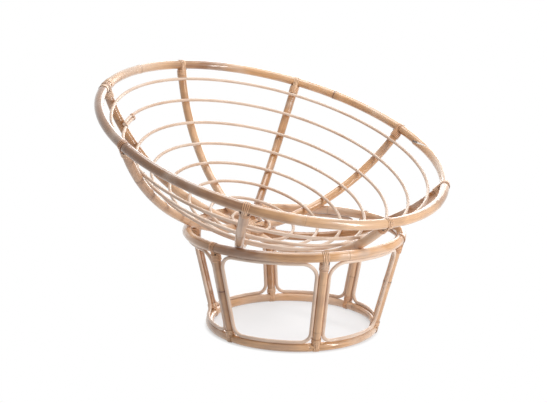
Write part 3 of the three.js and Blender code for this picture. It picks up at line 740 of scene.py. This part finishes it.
def rounded_outline(corners, radii, step):
    """A closed outline whose corners are rounded by arcs, as dense points."""
    points = []
    for i, corner in enumerate(corners):
        back = corners[i - 1] - corner
        ahead = corners[(i + 1) % len(corners)] - corner
        back, ahead = back / np.linalg.norm(back), ahead / np.linalg.norm(ahead)
        half = math.acos(np.dot(back, ahead)) / 2
        middle = (back + ahead) / np.linalg.norm(back + ahead)
        centre = corner + middle * radii[i] / math.sin(half)
        start = corner + back * radii[i] / math.tan(half) - centre
        for turned in np.linspace(0, math.pi - 2 * half, 14):
            c, sn = math.cos(turned), math.sin(turned)
            points.append(centre + np.array((c * start[0] - sn * start[1], sn * start[0] + c * start[1])))
    dense = []
    for i, point in enumerate(points):
        ahead = points[(i + 1) % len(points)]
        count = max(1, int(np.linalg.norm(ahead - point) / step))
        dense.extend(point + (ahead - point) * k / count for k in range(count))
    return np.array(dense)


class PAPASAN_OT_panel_canes(bpy.types.Operator):
    """Bends one thin cane to a rounded loop in each of the six panels"""

    bl_idname = "papasan.panel_canes"
    bl_label = "Panel canes"

    def execute(self, context):
        s = sizes()
        half = s.panel_cane / 2
        outline = self.loop(s, half)
        for k in range(POSTS):
            across, climb = np.roll(outline, -9 * k - 20, axis=0).T
            azimuth = FRONT + (k + 1) * POST_STEP + across / (s.foot_ring_radius + climb * post_way()[0][0])
            path = drum_path(azimuth, climb, closed=True)
            thick, mark = cane_swell(path.along, [], s.panel_cane, 40 + k)
            thick = eased(thick, path.along, half, ROD_EVEN)
            strand = (path, thick, thick, 0.03 * (k % 3), mark)
            sweep(f"bent_panel_cane_{k + 1}", [strand], "base", "rod", 16, f"panel_cane_{k + 1}")
        return {"FINISHED"}

    def loop(self, s, half):
        """The panel's outline laid flat, as distances across and up."""
        way, length = post_way()
        low = s.foot_ring_pole / 2 + s.clear + half
        high = length - s.top_ring_pole / 2 - s.clear - half
        inset = (s.post_pole / 2 + s.clear + half) / math.cos(math.atan(way[0] * POST_STEP / 2))
        corners = [
            np.array((side * ((s.foot_ring_radius + far * way[0]) * POST_STEP / 2 - inset), far))
            for side, far in ((-1, low), (1, low), (1, high), (-1, high))
        ]
        return rounded_outline(corners, [s.panel_foot_bend] * 2 + [s.panel_top_bend] * 2, PATH_STEP)


# Bindings


class Joint:
    """A strut's end on a bent pole: where it is, which way the strut runs and how thick both are."""

    seat = None  # angle at which the bowl's ribs press on the strips
    pressed, easing = 0.42, 0.22  # how far round from there they do, and the angle over which that ends
    gap_left, thinnest = 0.09, 0.00022  # share of its gap that a pressed strip keeps, its least thickness
    leg_end = 0.0015  # how far before its bend a strip's straight leg ends
    spacing = 0.0006  # from the pole to the winding's first turn, beyond the clearance
    step_up = 0.00035  # between the three heights at which strips lie
    peg_spread, peg_lift = 0.72, 0.0026  # how much of a plug's way is sideways, how far off the pole it is; the near-black plugs are painted shade

    def __init__(self, azimuth, radius, height, pole, strut, way, face=-1):
        self.centre = meridian(azimuth, radius, height)
        self.way = meridian(azimuth, way[0], way[1])
        self.side = tangent_of(azimuth)
        self.normal = face * np.cross(self.side, self.way)
        self.pole = pole / 2
        self.strut = strut / 2

    def flat(self, angle):
        """Unit vector in the joint's plane, the angle counted from the strut's way."""
        return math.cos(angle) * self.way + math.sin(angle) * self.normal

    def strip(self, offset, neck_offset, lift, end, span, slant):
        """One strip: up one side of the strut, over the pole and down the other side."""
        s = sizes()
        over = self.pole + s.clear + s.peel / 2 + lift
        beside = self.strut + s.clear + s.peel / 2 + lift
        meet = math.asin(min(0.98, beside / over)) * 0.98
        legs = np.linspace(end, over * math.cos(meet) + self.leg_end, 5)
        points, outs = [], []
        low, high = span

        def neck(side, far):
            lean = (neck_offset + slant * side) / beside
            out = math.cos(lean) * self.normal * side + math.sin(lean) * self.side
            points.append(self.centre + self.way * far + out * beside)
            outs.append(out)

        if low <= 0:
            for far in legs:
                neck(1, far)
        start, stop = max(low, meet), min(high, ROUND - meet)
        for angle in np.linspace(start, stop, max(4, int((stop - start) * 12))):
            reach = self.pole + (over - self.pole) * self.squeeze(angle)
            share = max(0.0, math.cos((angle - math.pi) / (math.pi - meet) * math.pi / 2))
            drift = slant * math.cos(angle / 2) * (1 - share * 0.3)
            across = neck_offset + (offset - neck_offset) * share - drift
            points.append(self.centre + self.flat(angle) * reach + self.side * across)
            outs.append(self.flat(angle))
        if high >= ROUND:
            for far in legs[::-1]:
                neck(-1, far)
        path = Path(np.array(points), np.array(outs))
        away = path.middle - self.centre
        gaps = np.linalg.norm(away - np.outer(away @ self.side, self.side), axis=1)
        thick = np.clip((gaps - self.pole) * 2, self.thinnest, s.peel) / 2
        return path, s.peel_width / 2, thick, 0.0, 0.0

    def squeeze(self, angle):
        """How much of its gap a strip keeps: little under the bowl's ribs, all of it well away from them."""
        if self.seat is None:
            return 1.0
        away = abs((angle - self.seat + math.pi) % ROUND - math.pi)
        share = float(np.clip((away - self.pressed) / self.easing, 0, 1))
        return self.gap_left + (1 - self.gap_left) * share ** 2 * (3 - 2 * share)

    def winding(self, start, turns, pitch, phase, tone):
        """Turns of one strip round the strut."""
        s = sizes()
        reach = self.strut + s.clear + 1.5 * s.peel
        turned = np.linspace(phase, phase + turns * ROUND, int(turns * 26))
        far = start + (turned - phase) / ROUND * pitch
        out = np.cos(turned)[:, None] * self.normal + np.sin(turned)[:, None] * self.side
        points = self.centre + far[:, None] * self.way + out * reach
        return Path(points, out), (pitch - 0.0003) / 2, s.peel / 2, tone, 0.0

    def corners(self, sides):
        """Where near-black plugs sit beside the strips as painted shade, as points and outward ways."""
        spread = self.peg_spread
        made = []
        for face, side in sides:
            out = math.sqrt(1 - spread ** 2) * self.normal * face + spread * self.side * side
            far = self.way * (self.pole + self.peg_lift)
            made.append((self.centre + far + out * (self.strut + 2 * sizes().peel), out))
        return made

    def strands(self, strips, spreads, turns, pitch, seed, span=(0.0, ROUND), wrap_tone=0.05, strip_tone=0.0):
        """Strips over the pole and the winding that holds them; spreads are on the pole and at the neck."""
        s = sizes()
        rng = np.random.default_rng(seed)
        first = self.pole + s.clear + s.peel_width / 2 + self.spacing
        end = first + 0.6 * turns * pitch
        made = []
        for k in range(strips):
            place = (k - (strips - 1) / 2) / ((strips - 1) / 2)
            offset = place * spreads[0] / 2 + rng.uniform(-0.0003, 0.0003)
            lift = self.step_up * ((k * 2) % 3)
            slant = rng.uniform(-0.0008, 0.0008)
            path, wide, thick, _, mark = self.strip(offset, place * spreads[1] / 2, lift, end, span, slant)
            made.append((path, wide, thick, strip_tone, mark))
        made.append(self.winding(first, turns, pitch, rng.uniform(0, 6), wrap_tone))
        return [(p, w, t, tone + rng.uniform(-0.12, 0.08), mark) for p, w, t, tone, mark in made]


def top_joints():
    s = sizes()
    way = -post_way()[0]
    ring = s.top_ring_radius, s.top_ring_height, s.top_ring_pole
    return [Joint(post_azimuth(k), *ring, s.post_pole, way) for k in range(POSTS)]


def rim_joints():
    s = sizes()
    step = rim_angle() / RIB_FACETS
    way = np.subtract(arc_point(rim_angle() - step, bowl_radius()), arc_point(rim_angle(), bowl_radius()))
    way = way / np.linalg.norm(way)
    rim = s.rim_radius, -rim_depth(), s.rim_pole
    return [(number, Joint(rib_azimuth(number), *rim, s.rib_pole, way)) for number in range(1, RIBS + 1)]


class PAPASAN_OT_base_bindings(bpy.types.Operator):
    """Binds the posts to both rings with peel strips"""

    bl_idname = "papasan.base_bindings"
    bl_label = "Base bindings"

    wrap_tones = (0.45, 0.1, 0.15, 0.1, 0.45, 0.35)
    strip_tones = (0.0, 0.0, 0.0, 0.0, 0.5, 0.0)
    foot_open = math.radians(52)  # how far from straight down the foot strips end, to leave the floor free

    def execute(self, context):
        s = sizes()
        way, _ = post_way()
        seat = math.atan2(bowl_height() - s.top_ring_height, -s.top_ring_radius)
        up = math.atan2(way[1], way[0])
        for k, joint in enumerate(top_joints()):
            joint.seat = (seat - math.atan2(-way[1], -way[0])) % ROUND
            tones = {"wrap_tone": self.wrap_tones[k], "strip_tone": self.strip_tones[k]}
            strands = joint.strands(s.strips, (0.0160, 0.0120), 5, 0.0047, 60 + k, **tones)
            sweep(f"top_peel_{k + 1}", strands, "base", "peel", 10, f"top_binding_{k + 1}")

            ring = s.foot_ring_radius, s.foot_ring_pole / 2, s.foot_ring_pole
            joint = Joint(post_azimuth(k), *ring, s.post_pole, way, face=1)
            strands = joint.strands(4, (0.0165, 0.0125), 3.2, 0.0046, 80 + k, (0.0, up + self.foot_open))
            inner = (math.pi + up - self.foot_open, ROUND)
            for j in range(4):
                side = j - 1.5
                strands.append(joint.strip(side * 0.0046, side * 0.0038, 0.0002 * (j % 2), 0.026, inner, 0.0))
            sweep(f"foot_peel_{k + 1}", strands, "base", "peel", 10, f"foot_binding_{k + 1}")
        return {"FINISHED"}


# Bowl


SCARF_AZIMUTH = rib_azimuth(3) - 0.22 * RIB_STEP
SPLICE_AZIMUTH = rib_azimuth(8)


class PAPASAN_OT_rim(bpy.types.Operator):
    """Bends the rim's two poles and scarfs them together"""

    bl_idname = "papasan.rim"
    bl_label = "Rim"

    marks = {
        "front": ((-177, 0.45), (-118, 0.2), (-62, 0.12)),
        "back": ((30, 0.95), (75, 0.15), (110.5, 0.45)),
    }
    # Stretches as (middle and spread in degrees, tone, paleness): the dark ones on the left, near -168 and
    # 149 degrees, are painted shade, the pale one near -35 degrees is a painted highlight, and the rest mix
    # the cane's own tone with both
    spans = (
        (-168, 34, 1.0, 0), (149, 16, 1.1, 0), (113, 15, -0.1, 0.38), (-35, 11, -0.1, 0.55),
        (-52, 9, 0.5, 0), (4, 12, -0.25, 0.05), (-103, 12, -0.1, 0.18), (-76, 14, -0.1, 0.12),
        (80, 12, 0.8, 0), (-56, 8, 0.2, 0),
    )
    splice_half, scarf_half = 0.0475, 0.085
    scarf_turn = math.radians(70)  # how far the scarf's faces are turned from outwards to upwards
    shoulder = 0.0057  # how far past the scarf's middle the back pole stands whole again
    shoulder_gap = 0.0008  # between that shoulder and the front pole's tip
    dark_line = 0.0003  # half the width of the shadow line there
    tip_edge = 0.0007  # from that tip to the path's last step before it
    spring = 0.0024  # how far the front pole's thin end stands off
    back_dip, front_dip = 0.0035, 0.0075  # what the scarf's two faces lose to make it slender

    def execute(self, context):
        s = sizes()
        radius, turn = s.rim_radius, self.scarf_turn
        splice, scarf = self.splice_half / radius, self.scarf_half / radius
        gap, line = self.shoulder_gap / radius, self.dark_line / radius
        shoulder = SCARF_AZIMUTH + self.shoulder / radius
        tip, end = shoulder - gap, SPLICE_AZIMUTH + ROUND
        edges = {
            "front": (tip - self.tip_edge / radius, tip),
            "back": (shoulder - 0.00001, shoulder, shoulder + gap),
        }
        for label, low, high, halves, last, seed in (
            ("front", SPLICE_AZIMUTH, SCARF_AZIMUTH, (splice, scarf), tip, 7),
            ("back", SCARF_AZIMUTH, end, (scarf, splice), end + splice, 9),
        ):
            steps = np.sort(np.append(np.arange(low - halves[0], last, PATH_STEP / radius), edges[label]))
            azimuths, _, thick, mark = bent_pole(steps, radius, self.marks[label], s.rim_pole, seed)
            reached = np.clip((azimuths - SCARF_AZIMUTH + scarf) / scarf, 0, 1) ** 1.4
            sprung = reached * (self.spring if label == "front" else 0.0)
            path = Path(
                meridian(azimuths, radius - sprung * math.cos(turn), -rim_depth() - sprung * math.sin(turn)),
                meridian(azimuths, math.cos(turn), math.sin(turn)),
            )
            trim_lap(path, azimuths, low, high, halves, thick, False)
            tone, path.wash = stretches(azimuths, self.spans)
            if label == "back":
                path.low = np.where(azimuths >= shoulder, -1.0, path.low - self.back_dip * reached)
                # A painted shadow line at the back pole's shoulder
                mark = np.maximum(mark, 0.85 * (np.abs(azimuths - shoulder) < line))
            else:
                path.high = np.where(sprung > 0, path.high - self.front_dip * reached, path.high)
                # A painted shadow line at the front pole's tip
                mark = np.maximum(mark, 0.7 * (azimuths > last - line))
            strand = (path, thick, thick, tone, mark)
            sweep(f"bent_rim_{label}", [strand], "bowl", "pole", 28, f"rim_pole_{label}")
        return {"FINISHED"}


class PAPASAN_OT_ribs(bpy.types.Operator):
    """Curves the ribs from the rim to the hub under the bowl"""

    bl_idname = "papasan.ribs"
    bl_label = "Ribs"

    # Tone and paleness at even steps from the hub to the rim, partly the cane's own and partly painted shade
    # and painted highlight; the long rib's run from its front to its back
    looks = {
        1: ((-0.8, -0.8, 0.0, -0.3, 0.3), (0.3, 0.3, 0.0)),
        2: ((0.9, 0.4, 0.25), (0.0,)),
        3: ((-0.1, -0.2, 0.3), (0.0,)),
        4: ((0.6, 0.5, 1.0), (0.0,)),
        6: ((0.1, -0.5, 0.2, 0.8), (0.2, 0.3, 0.2)),
        7: ((0.2, -0.5, 0.4, 0.6), (0.15, 0.3, 0.2)),
        8: ((0.0, -0.4, 0.3, 0.4, 0.6), (0.1, 0.3, 0.1, 0.0, 0.0)),
    }
    straight_start, slant_start = 0.016, 0.026  # angles at which the shorter ribs begin beside the long one
    node_gap, first_node, last_node = 0.27, 0.12, 0.03  # between nodes, from a rib's start and from its end

    def execute(self, context):
        s = sizes()
        radius = bowl_radius()
        stop = rim_angle() - 0.4 * s.rim_pole / 2 / radius
        for number, look in self.looks.items():
            start = -stop if number == 1 else self.straight_start if number in (3, 7) else self.slant_start
            length = (stop - start) * radius
            places = np.arange(4) * self.node_gap + self.first_node + 0.019 * number
            places = places[places < length - self.last_node]
            marks = [(m, 0.25 + 0.5 * (i % 3) / 2) for i, m in enumerate(places)]
            angles = np.linspace(start, stop, int(length / PATH_STEP))
            angles = with_nodes(angles, radius, [start + m / radius for m, _ in marks])
            azimuth = rib_azimuth(number)
            path = Path(on_bowl(azimuth, angles, radius), on_bowl(azimuth, angles, 1.0))
            along = (angles - start) * radius
            thick, mark = cane_swell(along, marks, s.rib_pole - 0.0003, 100 + number)
            thick = np.minimum(thick, s.rib_pole / 2 + 0.0002)
            share = along / along[-1]
            tone, path.wash = (np.interp(share, np.linspace(0, 1, len(keys)), keys) for keys in look)
            label = "long" if number == 1 else str(number)
            strand = (path, thick, thick, tone, mark)
            sweep(f"curved_rib_{label}", [strand], "bowl", "strut", 26, f"rib_{label}")
        return {"FINISHED"}


def hoop_radius():
    """From the bowl's middle to the hoops' middles, clear of the ribs' flattest places."""
    s = sizes()
    step = rim_angle() / RIB_FACETS
    return bowl_radius() * math.cos(step / 2) - s.rib_pole / 2 - s.clear - s.hoop_rod / 2


def hoop_angle(number):
    s = sizes()
    first = rim_angle() - s.first_hoop_drop / hoop_radius()
    last = math.asin(s.last_hoop_radius / hoop_radius())
    return first - (number - 1) * (first - last) / (s.hoops - 1)


def hoop_lap():
    """The angle by which the second hoop's ends pass each other."""
    return sizes().hoop_overlap / (hoop_radius() * math.sin(hoop_angle(2)))


class PAPASAN_OT_hoops(bpy.types.Operator):
    """Lays the peeled hoops inside the ribs"""

    bl_idname = "papasan.hoops"
    bl_label = "Hoops"

    sway = 0.0011  # how far a hoop strays from its circle

    def execute(self, context):
        s = sizes()
        reach = hoop_radius()
        for number in range(1, s.hoops + 1):
            angle = hoop_angle(number)
            if number == 2:
                azimuths, bend = self.lapped(s, reach, angle)
            else:
                azimuths, bend = self.closed(reach, angle, number)
            path = Path(on_bowl(azimuths, bend, reach), on_bowl(azimuths, bend, 1.0), closed=number != 2)
            thick, mark = cane_swell(path.along, [], s.hoop_rod - 0.0001, 140 + number)
            if path.closed:
                thick = eased(thick, path.along, s.hoop_rod / 2, ROD_EVEN)
            strand = (path, thick, thick, 0.04 * (number % 3) - 0.04, mark)
            sweep(f"peeled_hoop_{number}", [strand], "bowl", "rod", 18, f"hoop_{number}")
        return {"FINISHED"}

    def lapped(self, s, reach, angle):
        """A hoop that climbs by its own thickness, so that its ends lie side by side."""
        low = rib_azimuth(8) - 0.7 * hoop_lap()
        high = low + hoop_lap() + ROUND
        azimuths = np.linspace(low, high, int((high - low) * reach * math.sin(angle) / PATH_STEP))
        climb = (s.hoop_rod + s.clear) / reach / ROUND
        return azimuths, angle + (azimuths - (low + high) / 2) * climb

    def closed(self, reach, angle, number):
        start = BACK + 0.37 * number
        count = max(60, int(ROUND * reach * math.sin(angle) / PATH_STEP))
        azimuths = np.linspace(start, start + ROUND, count + 1)[:-1]
        rng = np.random.default_rng(number)
        sway = sum(rng.uniform(-1, 1) * np.sin(k * azimuths + rng.uniform(0, 6)) / k for k in (2, 3, 5))
        return azimuths, angle + self.sway * sway / reach


class PAPASAN_OT_hoop_ties(bpy.types.Operator):
    """Ties the two lapped ends of the second hoop"""

    bl_idname = "papasan.hoop_ties"
    bl_label = "Hoop ties"

    places = (-0.42, 0.43)  # shares of the lap, from its middle
    turns, pitch, width = 3, 0.0031, 0.0029

    def execute(self, context):
        s = sizes()
        reach, angle, lap = hoop_radius(), hoop_angle(2), hoop_lap()
        middle = rib_azimuth(8) - 0.2 * lap
        tall = s.hoop_rod / 2 + s.clear + s.peel / 2
        shift = (s.hoop_rod + s.clear) / 2
        strands = []
        for place in self.places:
            turned = np.linspace(0, self.turns * ROUND, self.turns * 28)
            c, sn = np.cos(turned), np.sin(turned)
            across = tall * c + shift * np.clip(2.5 * c, -1, 1)
            wound = (turned / ROUND - self.turns / 2) * self.pitch
            azimuth = middle + place * lap + wound / (reach * math.sin(angle))
            bend = angle + (azimuth - middle) * 2 * shift / reach / ROUND + across / reach
            sideways = meridian(azimuth, math.cos(angle), math.sin(angle))
            out = c[:, None] * sideways + sn[:, None] * on_bowl(azimuth, angle, 1.0)
            path = Path(on_bowl(azimuth, bend, reach + tall * sn), out)
            strands.append((path, self.width / 2, s.peel / 2, 0.1, 0.0))
        sweep("hoop_ties", strands, "bowl", "peel", 10)
        return {"FINISHED"}


class PAPASAN_OT_rim_bindings(bpy.types.Operator):
    """Binds the ribs to the rim, and wraps the rim's splice"""

    bl_idname = "papasan.rim_bindings"
    bl_label = "Rim bindings"

    wrap_width = 0.0045

    def execute(self, context):
        s = sizes()
        for number, joint in rim_joints():
            turns = 5.5 if number in (1, 2) else 3.5
            tones = {"wrap_tone": 0.5 if number in (5, 6) else 0.0, "strip_tone": 0.7 if number == 7 else 0.0}
            strands = joint.strands(s.strips, (0.0165, 0.0125), turns, 0.0047, 160 + number, **tones)
            sweep(f"rim_peel_{number}", strands, "bowl", "peel", 10, f"rim_binding_{number}")
        for label, side, turns in ((1, -1, 6), (2, 1, 4)):
            first = s.rib_pole / 2 + s.clear + s.peel_width / 2
            turned = np.linspace(0, turns * ROUND, turns * 26)
            far = first + turned / ROUND * self.wrap_width
            azimuth = SPLICE_AZIMUTH + side * far / s.rim_radius
            reach = s.rim_pole / 2 + s.clear + s.peel / 2
            c, sn = np.cos(turned), np.sin(turned)
            points = meridian(azimuth, s.rim_radius + reach * c, -rim_depth() + reach * sn)
            path = Path(points, meridian(azimuth, c, sn))
            tone = np.where(turned > ROUND * (turns - 1), -0.6, -0.2)
            strand = (path, self.wrap_width / 2, s.peel / 2, tone, 0.0)
            sweep(f"splice_peel_{label}", [strand], "bowl", "peel", 10, f"splice_wrap_{label}")
        return {"FINISHED"}


class PAPASAN_OT_hub_lashing(bpy.types.Operator):
    """Lashes the ribs where they meet under the bowl"""

    bl_idname = "papasan.hub_lashing"
    bl_label = "Hub lashing"

    reach, lane_gap, width = 0.048, 0.0046, 0.0042

    def execute(self, context):
        s = sizes()
        radius = bowl_radius()
        turned = np.linspace(0, ROUND, 97)[:-1]
        c, sn = np.cos(turned), np.sin(turned)
        strands = []
        for k in range(4):
            azimuth = BACK + (k + 0.5) * RIB_STEP
            near = s.rib_pole / 2 + s.clear + s.peel / 2 + k * 0.0011
            r = np.sign(c) * np.abs(c) ** 0.75 * (self.reach + k * 0.0012)
            z = np.sign(sn) * np.abs(sn) ** 0.45 * near
            sag = radius - np.sqrt(radius ** 2 - r ** 2)
            for lane in (-1, 0, 1):
                points = meridian(azimuth, r, z - radius + sag * (sn > 0))
                points = points + tangent_of(azimuth) * lane * self.lane_gap
                path = Path(points, meridian(azimuth, c, sn), closed=True)
                strands.append((path, self.width / 2, s.peel / 2, 0.05 * lane, 0.0))
        sweep("hub_peel", strands, "bowl", "peel", 10, "hub_lashing")
        return {"FINISHED"}


class PAPASAN_OT_nails(bpy.types.Operator):
    """Sets a nail head where each hoop crosses a rib, and near-black plugs beside the bindings as painted
    shade
    """

    bl_idname = "papasan.nails"
    bl_label = "Nails"

    nail, peg = (0.0016, 0.0007), (0.0021, 0.0013)  # radius and height of their heads
    corners = ((1, -1), (1, 1), (-1, -1), (-1, 1))  # faces and sides of a strut
    plug_sides = {1: (-1,), 3: (1,), 4: (1,), 8: (-1,)}  # where the rim's near-black plugs of painted shade sit on one side alone

    def execute(self, context):
        reach = hoop_radius() - sizes().hoop_rod / 2
        rng = np.random.default_rng(11)
        spots = []
        for number in range(1, sizes().hoops + 1):
            angle = hoop_angle(number)
            for rib in range(1, RIBS + 1):
                azimuth = rib_azimuth(rib) + rng.uniform(-0.002, 0.002) / (reach * math.sin(angle))
                spots.append((on_bowl(azimuth, angle, reach), -on_bowl(azimuth, angle, 1.0)))
        self.heads("hoop_nails", spots, "bowl", "nail", self.nail)
        spots = []
        for number, joint in rim_joints():
            sides = self.plug_sides.get(number, (-1, 1))
            spots += joint.corners([corner for corner in self.corners if corner[1] in sides])
        self.heads("rim_shade_plugs", spots, "bowl", "peg", self.peg)
        spots = [spot for joint in top_joints() for spot in joint.corners(self.corners[1:])]
        self.heads("top_shade_plugs", spots, "base", "peg", self.peg)
        return {"FINISHED"}

    def heads(self, name, spots, body, finish, size):
        turn, shift = place_of(body)
        points, outs = (np.array(part) @ turn.T for part in zip(*spots))
        mesh = bpy.data.meshes.new(name + "_points")
        mesh.from_pydata([tuple(p) for p in points + shift], [], [])
        layer = mesh.attributes.new("out_way", "FLOAT_VECTOR", "POINT")
        layer.data.foreach_set("vector", outs.astype(np.float32).ravel())
        values = {"Material": kit(finish), "Head Radius": size[0], "Head Height": size[1]}
        grow_mesh(name, mesh, kit("heads"), values, body)


# Stage


class PAPASAN_OT_stage(bpy.types.Operator):
    """Sets the floor, the lights and the camera"""

    bl_idname = "papasan.stage"
    bl_label = "Stage"

    floor_half = 30.0
    shadow = (0.262, 0.278, 0.58)  # inside and outside radius of the drum's shade, and how white it is seen
    fill = 0.25
    # Name, place, aim, width, height, power and colour
    lamps = (
        ("strip_light", (0.45, -2.80, 1.10), (0, 0, 0.45), 0.34, 2.2, 42, (1.0, 0.99, 0.98)),
        ("softbox_top", (0.5, 0.2, 3.2), (0, 0, 0.4), 2.0, 2.0, 51, (1.0, 1.0, 1.0)),
        ("softbox_back", (2.6, 1.6, 1.3), (0, 0, 0.4), 2.6, 2.0, 48, (1.0, 1.0, 1.0)),
    )

    def execute(self, context):
        self.floor()
        self.sky(context.scene)
        for lamp in self.lamps:
            self.light(*lamp)
        self.camera(context.scene)
        context.scene.view_settings.view_transform = "Standard"
        return {"FINISHED"}

    def floor(self):
        """A pale floor that is seen white round the chair, and greyer within the drum."""
        mesh = bpy.data.meshes.new("studio_floor")
        far = self.floor_half
        mesh.from_pydata([(-far, -far, 0), (far, -far, 0), (far, far, 0), (-far, far, 0)], [], [(0, 1, 2, 3)])
        floor = in_scene("studio_floor", mesh)
        pale = Finish("pale_floor")
        pale.dress({"Base Color": linear(colours().floor), "Roughness": 0.7})
        away = pale.vectors("SUBTRACT", pale.place(), base_matrix().translation)
        away = pale.add("ShaderNodeVectorMath", {0: away}, "Value", operation="LENGTH")
        inside, outside, shade = self.shadow
        white = pale.sums("MULTIPLY", pale.ramp(away, inside, outside, shade, 1.0), pale.seen())
        glow = pale.add("ShaderNodeEmission")
        pale.feed(pale.end, pale.add("ShaderNodeMixShader", {0: white, 1: pale.surface.outputs[0], 2: glow}))
        mesh.materials.append(pale.material)

    def sky(self, scene):
        world = bpy.data.worlds.new("studio")
        scene.world = world
        world.use_nodes = True
        sky = Nodes(world.node_tree)
        fill = sky.add("ShaderNodeBackground", {"Color": (0.97, 0.98, 1.0, 1), "Strength": self.fill})
        white = sky.add("ShaderNodeBackground", {"Color": (1, 1, 1, 1), "Strength": 1.0})
        both = sky.add("ShaderNodeMixShader", {0: sky.seen(), 1: fill, 2: white})
        sky.feed(sky.tree.nodes.new("ShaderNodeOutputWorld").inputs["Surface"], both)

    def light(self, name, place, aim, wide, high, power, colour):
        data = bpy.data.lights.new(name, "AREA")
        data.shape = "RECTANGLE"
        data.size, data.size_y = wide, high
        data.energy = power
        data.color = colour
        lamp = in_scene(name, data)
        lamp.location = place
        lamp.rotation_euler = (Vector(place) - Vector(aim)).to_track_quat("Z", "Y").to_euler()

    def camera(self, scene):
        view = scene.papasan_view
        data = bpy.data.cameras.new("photo_view")
        data.lens = view.lens
        data.sensor_width = 36
        camera = in_scene("photo_view", data)
        right = np.array(view.right) / np.linalg.norm(view.right)
        up = np.array(view.up) - np.dot(view.up, right) * right
        up = up / np.linalg.norm(up)
        turn = Matrix(np.column_stack((right, up, np.cross(right, up))).tolist()).to_4x4()
        camera.matrix_world = Matrix.Translation(view.place) @ turn
        scene.camera = camera


class PAPASAN_PT_panel(bpy.types.Panel):
    """The chair's steps and sizes"""

    bl_idname = "PAPASAN_PT_panel"
    bl_label = "Papasan chair"
    bl_space_type = "VIEW_3D"
    bl_region_type = "UI"
    bl_category = "Papasan"

    def draw(self, context):
        for step in STEPS:
            self.layout.operator(step.bl_idname)
        for name, group in GROUPS:
            for key in group.__annotations__:
                self.layout.prop(getattr(context.scene, name), key)


GROUPS = (("papasan_sizes", ChairSizes), ("papasan_colours", ChairColours), ("papasan_view", PhotoView))
STEPS = (
    PAPASAN_OT_stage, PAPASAN_OT_rings, PAPASAN_OT_posts, PAPASAN_OT_panel_canes, PAPASAN_OT_base_bindings,
    PAPASAN_OT_rim, PAPASAN_OT_ribs, PAPASAN_OT_hoops, PAPASAN_OT_hoop_ties, PAPASAN_OT_rim_bindings,
    PAPASAN_OT_hub_lashing, PAPASAN_OT_nails,
)


def register():
    for name, group in GROUPS:
        bpy.utils.register_class(group)
        setattr(bpy.types.Scene, name, PointerProperty(type=group))
    for step in STEPS:
        bpy.utils.register_class(step)
    bpy.utils.register_class(PAPASAN_PT_panel)


def unregister():
    bpy.utils.unregister_class(PAPASAN_PT_panel)
    for step in reversed(STEPS):
        bpy.utils.unregister_class(step)
    for name, group in reversed(GROUPS):
        delattr(bpy.types.Scene, name)
        bpy.utils.unregister_class(group)


def main():
    register()
    for step in STEPS:
        family, action = step.bl_idname.split(".")
        getattr(getattr(bpy.ops, family), action)()


if __name__ == "__main__":
    main()
